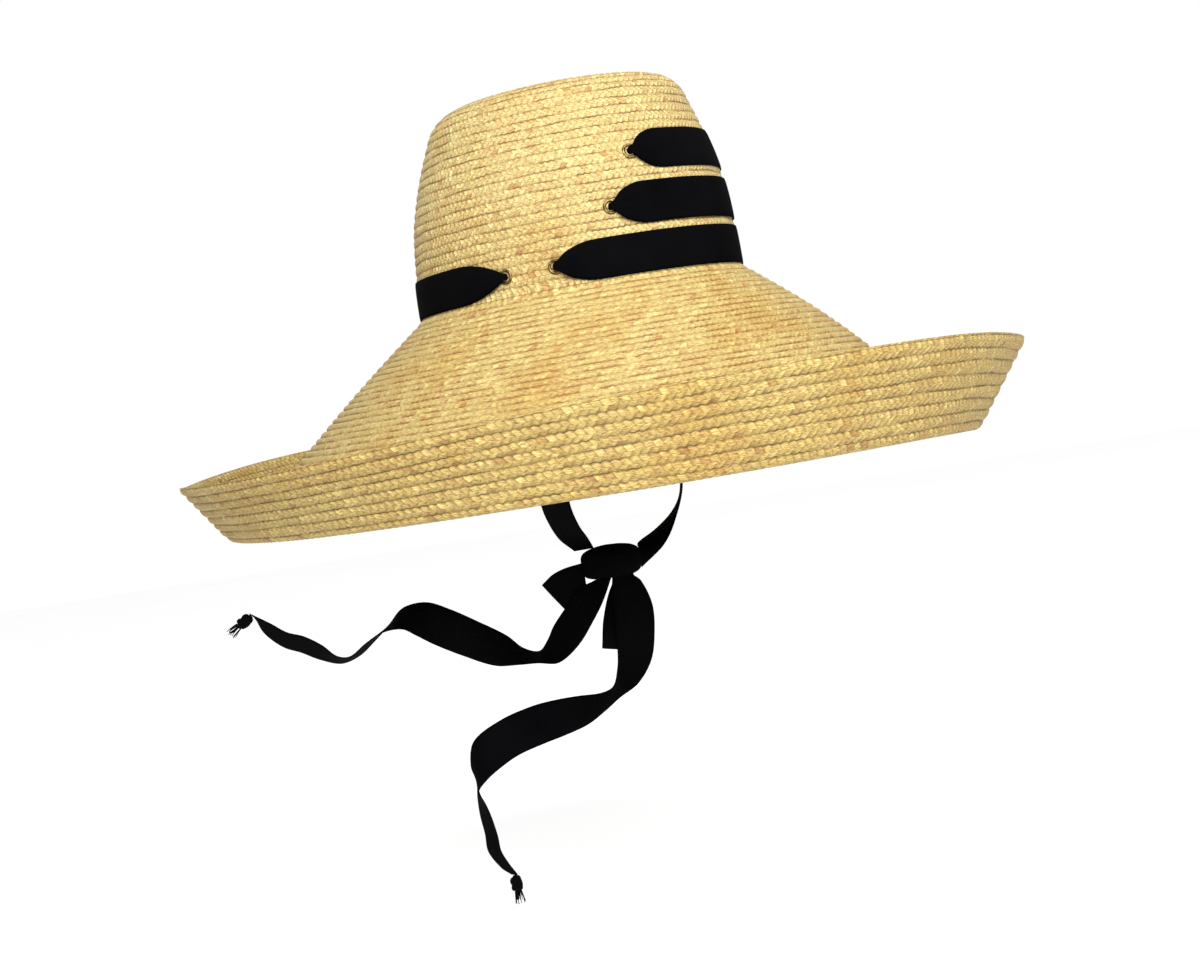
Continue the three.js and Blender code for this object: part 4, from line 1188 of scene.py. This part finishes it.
def make_straw_material(name, look):
    """Plaited straw: two diagonal sets of strands in each sewn row, flecked, with painted shade
    between the strands and in the grooves between rows.
    """
    nodes = Nodes(name)
    plus, times, smooth, mix = nodes.plus, nodes.times, nodes.smooth, nodes.mix
    along, row_place = nodes.uv()
    row = nodes.math("FLOOR", row_place)
    offset = nodes.math("SUBTRACT", nodes.math("FRACT", row_place), 0.5)
    far = nodes.math("GREATER_THAN", offset, 0.0)
    edge = times(nodes.math("ABSOLUTE", offset), 2.0)
    phase = plus(plus(along, times(edge, 0.5 * STRAND_LEAN)), times(far, 0.5))
    swell = nodes.math("SINE", times(nodes.math("FRACT", phase), math.pi))
    swell = nodes.math("POWER", nodes.math("MAXIMUM", swell, 0.0), 0.6)
    strand = nodes.combine(nodes.math("FLOOR", phase), row, far)
    fleck = nodes.node("TexWhiteNoise", Vector=strand).outputs["Value"]
    body = look["body"]
    tint = nodes.ramp(fleck, [
        (0.0, look["fleck"]), (0.03, look["dull"]), (0.35, body), (0.8, body), (1.0, look["pale"]),
    ])
    warm = mix(smooth(nodes.noise(22.0, 4.0), 0.42, 0.7), tint, WARM_PATCH, "MULTIPLY")
    tint = mix(look["patches"], tint, warm)
    fibre = nodes.noise(1.0, 3.0, nodes.combine(times(along, 1.3), times(row_place, 22.0), 0.0))
    streak = mix(smooth(fibre, 0.38, 0.64), DARK_FIBRE, PALE_FIBRE)
    tint = mix(0.75, tint, mix(0.85, tint, streak, "OVERLAY"))
    stain = smooth(nodes.noise(420.0, 2.0), 0.6, 0.74)
    tint = mix(times(stain, 0.5), tint, look["fleck"])
    # Painted shade in the gaps between strands, where each strand's swell falls off.
    gap = nodes.math("SUBTRACT", 1.0, smooth(swell, 0.1, 0.7))
    tint = mix(times(gap, look["plait_gap_shade"]), tint, PLAIT_SHADE)
    # Painted shade in the grooves between sewn rows: the groove colour is mixed in towards each
    # row's edges, with its strength varied by noise.
    seam_shade_strength = plus(look["least_seam_shade"], smooth(nodes.noise(90.0, 3.0), 0.36, 0.64))
    seam = times(smooth(edge, look["seam_shade_from"], 0.98), seam_shade_strength)
    tint = mix(times(seam, look["seam"]), tint, look["groove"])
    relief = nodes.bump(plus(times(swell, 0.8), times(fibre, 0.5)), 0.9, look["relief"])
    return nodes.finish(Base_Color=tint, Roughness=0.62, Specular_IOR_Level=0.3, Normal=relief)


# Tones of each straw region. The groove colour and the seam amounts set the painted shade in the
# grooves between rows; the plait gap amount sets the painted shade between strands.
STRAW_LOOKS = {
    "crown_straw": {
        "fleck": (130, 103, 66), "dull": (142, 126, 87), "body": (148, 138, 99),
        "pale": (163, 156, 118), "groove": (96, 64, 28), "patches": 0.3, "plait_gap_shade": 0.25,
        "seam_shade_from": 0.72, "seam": 0.78, "least_seam_shade": 0.3, "relief": 0.0009,
    },
    "cone_straw": {
        "fleck": (128, 98, 58), "dull": (136, 120, 80), "body": (140, 130, 88),
        "pale": (156, 148, 105), "groove": (104, 62, 26), "patches": 0.5, "plait_gap_shade": 0.1,
        "seam_shade_from": 0.5, "seam": 0.82, "least_seam_shade": 0.35, "relief": 0.0004,
    },
    "edge_straw": {
        "fleck": (116, 93, 55), "dull": (130, 113, 72), "body": (136, 123, 78),
        "pale": (151, 139, 94), "groove": (76, 56, 26), "patches": 0.35, "plait_gap_shade": 0.3,
        "seam_shade_from": 0.74, "seam": 0.7, "least_seam_shade": 0.3, "relief": 0.0012,
    },
}
RIB_PITCH = 0.0011
THREAD_PITCH = 0.0005


def make_ribbon_material():
    """Black grosgrain: fine ribs across the ribbon, finer threads along it and a little lint."""
    nodes = Nodes("ribbon")
    along, across = nodes.uv()
    ribs = nodes.math("SINE", nodes.times(along, FULL_TURN / RIB_PITCH))
    threads = nodes.math("SINE", nodes.times(across, FULL_TURN / THREAD_PITCH))
    lint = nodes.noise(900.0, 3.0)
    tint = nodes.ramp(nodes.noise(25.0, 2.0), [(0.3, (3, 3, 4)), (0.7, (6, 6, 7))])
    tint = nodes.mix(nodes.times(nodes.smooth(lint, 0.62, 0.8), 0.1), tint, (18, 18, 20))
    relief = nodes.plus(nodes.plus(ribs, nodes.times(threads, 0.25)), nodes.times(lint, 0.6))
    return nodes.finish(Base_Color=tint, Roughness=0.85, Specular_IOR_Level=0.01,
                        Normal=nodes.bump(relief, 0.35, 0.00012))


def make_eyelet_material():
    """Antiqued brass: dark in its hollows, with brighter worn places."""
    nodes = Nodes("eyelet")
    patina = nodes.noise(420.0, 4.0)
    tint = nodes.ramp(patina, [(0.3, (44, 35, 22)), (0.5, (98, 80, 50)), (0.75, (158, 136, 94))])
    rough = nodes.plus(0.25, nodes.times(patina, 0.35))
    return nodes.finish(Base_Color=tint, Roughness=rough, Metallic=1.0,
                        Normal=nodes.bump(patina, 0.15, 0.0002))


def make_floor_material():
    nodes = Nodes("floor")
    tint = nodes.ramp(nodes.noise(3.0, 2.0), [(0.2, (250, 250, 250)), (0.8, (252, 252, 252))])
    return nodes.finish(Base_Color=tint, Roughness=0.95, Specular_IOR_Level=0.0)


# Room, light and camera

FLOOR_DROP = 0.45
FLOOR_SIZE = 6.0
KEY_PLACE = Vector((1.55, 0.75, 0.85))
KEY_SIZE = 1.0
KEY_POWER = 86


def make_floor():
    mesh = bpy.data.meshes.new("floor")
    signs = ((-1, -1), (1, -1), (1, 1), (-1, 1))
    corners = [(x * FLOOR_SIZE, y * FLOOR_SIZE, -FLOOR_DROP) for x, y in signs]
    mesh.from_pydata(corners, [], [(0, 1, 2, 3)])
    mesh.materials.append(make_floor_material())
    floor = add_object("floor", mesh)


def make_light():
    """An even white room, and one soft lamp that looks at the origin."""
    world = bpy.data.worlds.new("studio")
    world.use_nodes = True
    background = world.node_tree.nodes["Background"]
    background.inputs["Color"].default_value = (1.0, 1.0, 1.0, 1.0)
    background.inputs["Strength"].default_value = 1.0
    bpy.context.scene.world = world
    light = bpy.data.lights.new("key", "AREA")
    light.size = KEY_SIZE
    light.energy = KEY_POWER
    lamp = add_object("key", light)
    lamp.location = KEY_PLACE
    lamp.rotation_euler = (-KEY_PLACE).to_track_quat("-Z", "Y").to_euler()


CAMERA_SIDE = math.radians(108)
CAMERA_DISTANCE = 1.145
CAMERA_HEIGHT = -0.080
CAMERA_ROLL = math.radians(9.8)
CAMERA_LENS = 56.43
AIM_BACK = 0.0077
AIM_HEIGHT = -0.113


def make_camera():
    camera = bpy.data.cameras.new("camera")
    camera.sensor_width = 36.0
    camera.lens = CAMERA_LENS
    camera.clip_end = 30.0
    place = Vector((math.sin(CAMERA_SIDE), -math.cos(CAMERA_SIDE), 0)) * CAMERA_DISTANCE
    place.z = CAMERA_HEIGHT
    aim = Vector((math.cos(CAMERA_SIDE), math.sin(CAMERA_SIDE), 0)) * -AIM_BACK
    aim.z = AIM_HEIGHT
    forward = (aim - place).normalized()
    side = forward.cross(Vector((0, 0, 1))).normalized()
    above = side.cross(forward)
    right = side * math.cos(CAMERA_ROLL) - above * math.sin(CAMERA_ROLL)
    up = above * math.cos(CAMERA_ROLL) + side * math.sin(CAMERA_ROLL)
    turn = Matrix((right, up, -forward)).transposed()
    rig = add_object("camera", camera)
    rig.matrix_world = Matrix.Translation(place) @ turn.to_4x4()
    bpy.context.scene.camera = rig


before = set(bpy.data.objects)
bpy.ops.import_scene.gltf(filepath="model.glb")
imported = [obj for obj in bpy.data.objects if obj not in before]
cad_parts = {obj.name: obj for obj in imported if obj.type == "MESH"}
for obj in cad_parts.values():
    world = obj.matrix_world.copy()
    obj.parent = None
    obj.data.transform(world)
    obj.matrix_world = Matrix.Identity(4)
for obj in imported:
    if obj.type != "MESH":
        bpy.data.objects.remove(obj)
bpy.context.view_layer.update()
MATERIALS = {name: make_straw_material(name, look) for name, look in STRAW_LOOKS.items()}
MATERIALS["ribbon"] = make_ribbon_material()
MATERIALS["eyelet"] = make_eyelet_material()
make_camera()
make_crown()
make_brim()
for key, row in EYELET_ROWS.items():
    make_eyelet(f"eyelet_{key}_left", row, 1)
    make_eyelet(f"eyelet_{key}_right", row, -1)
for key, row in EYELET_ROWS.items():
    make_band("band_" + key, row, -1 if key == "front" else 1)
make_lace("lace_left", 1)
make_lace("lace_right", -1)
make_tie("tie_left", LEFT_TIE, 1,
         bow_point(-0.44 * KNOT_WIDTH, 0.5 * KNOT_HEIGHT + GAP + 0.5, 0), -BOW_RIGHT, BOW_TOWARD)
make_tie("tie_right", RIGHT_TIE, -1,
         bow_point(0.5 * KNOT_WIDTH + GAP + 0.5, -0.05 * KNOT_HEIGHT, 0), -BOW_UP, -BOW_TOWARD)
make_knot()
make_loop("bow_loop_front", FRONT_LOOP_LENGTH,
          bow_point(-0.5 * KNOT_WIDTH - GAP, -0.2 * KNOT_HEIGHT, 0), -BOW_RIGHT, FRONT_LOOP_SWING)
make_loop("bow_loop_back", BACK_LOOP_LENGTH,
          bow_point(0.2 * KNOT_WIDTH, -0.5 * KNOT_HEIGHT - GAP, -0.25 * KNOT_DEPTH), -BOW_UP,
          BACK_LOOP_SWING)
make_tail("tail_front", TAILS["front"])
make_tail("tail_long", TAILS["long"])
make_tail_knot("tail_front_knot", TAILS["front"], 5)
make_tail_knot("tail_long_knot", TAILS["long"], 6)
make_floor()
make_light()
bpy.context.scene.view_settings.view_transform = "Standard"
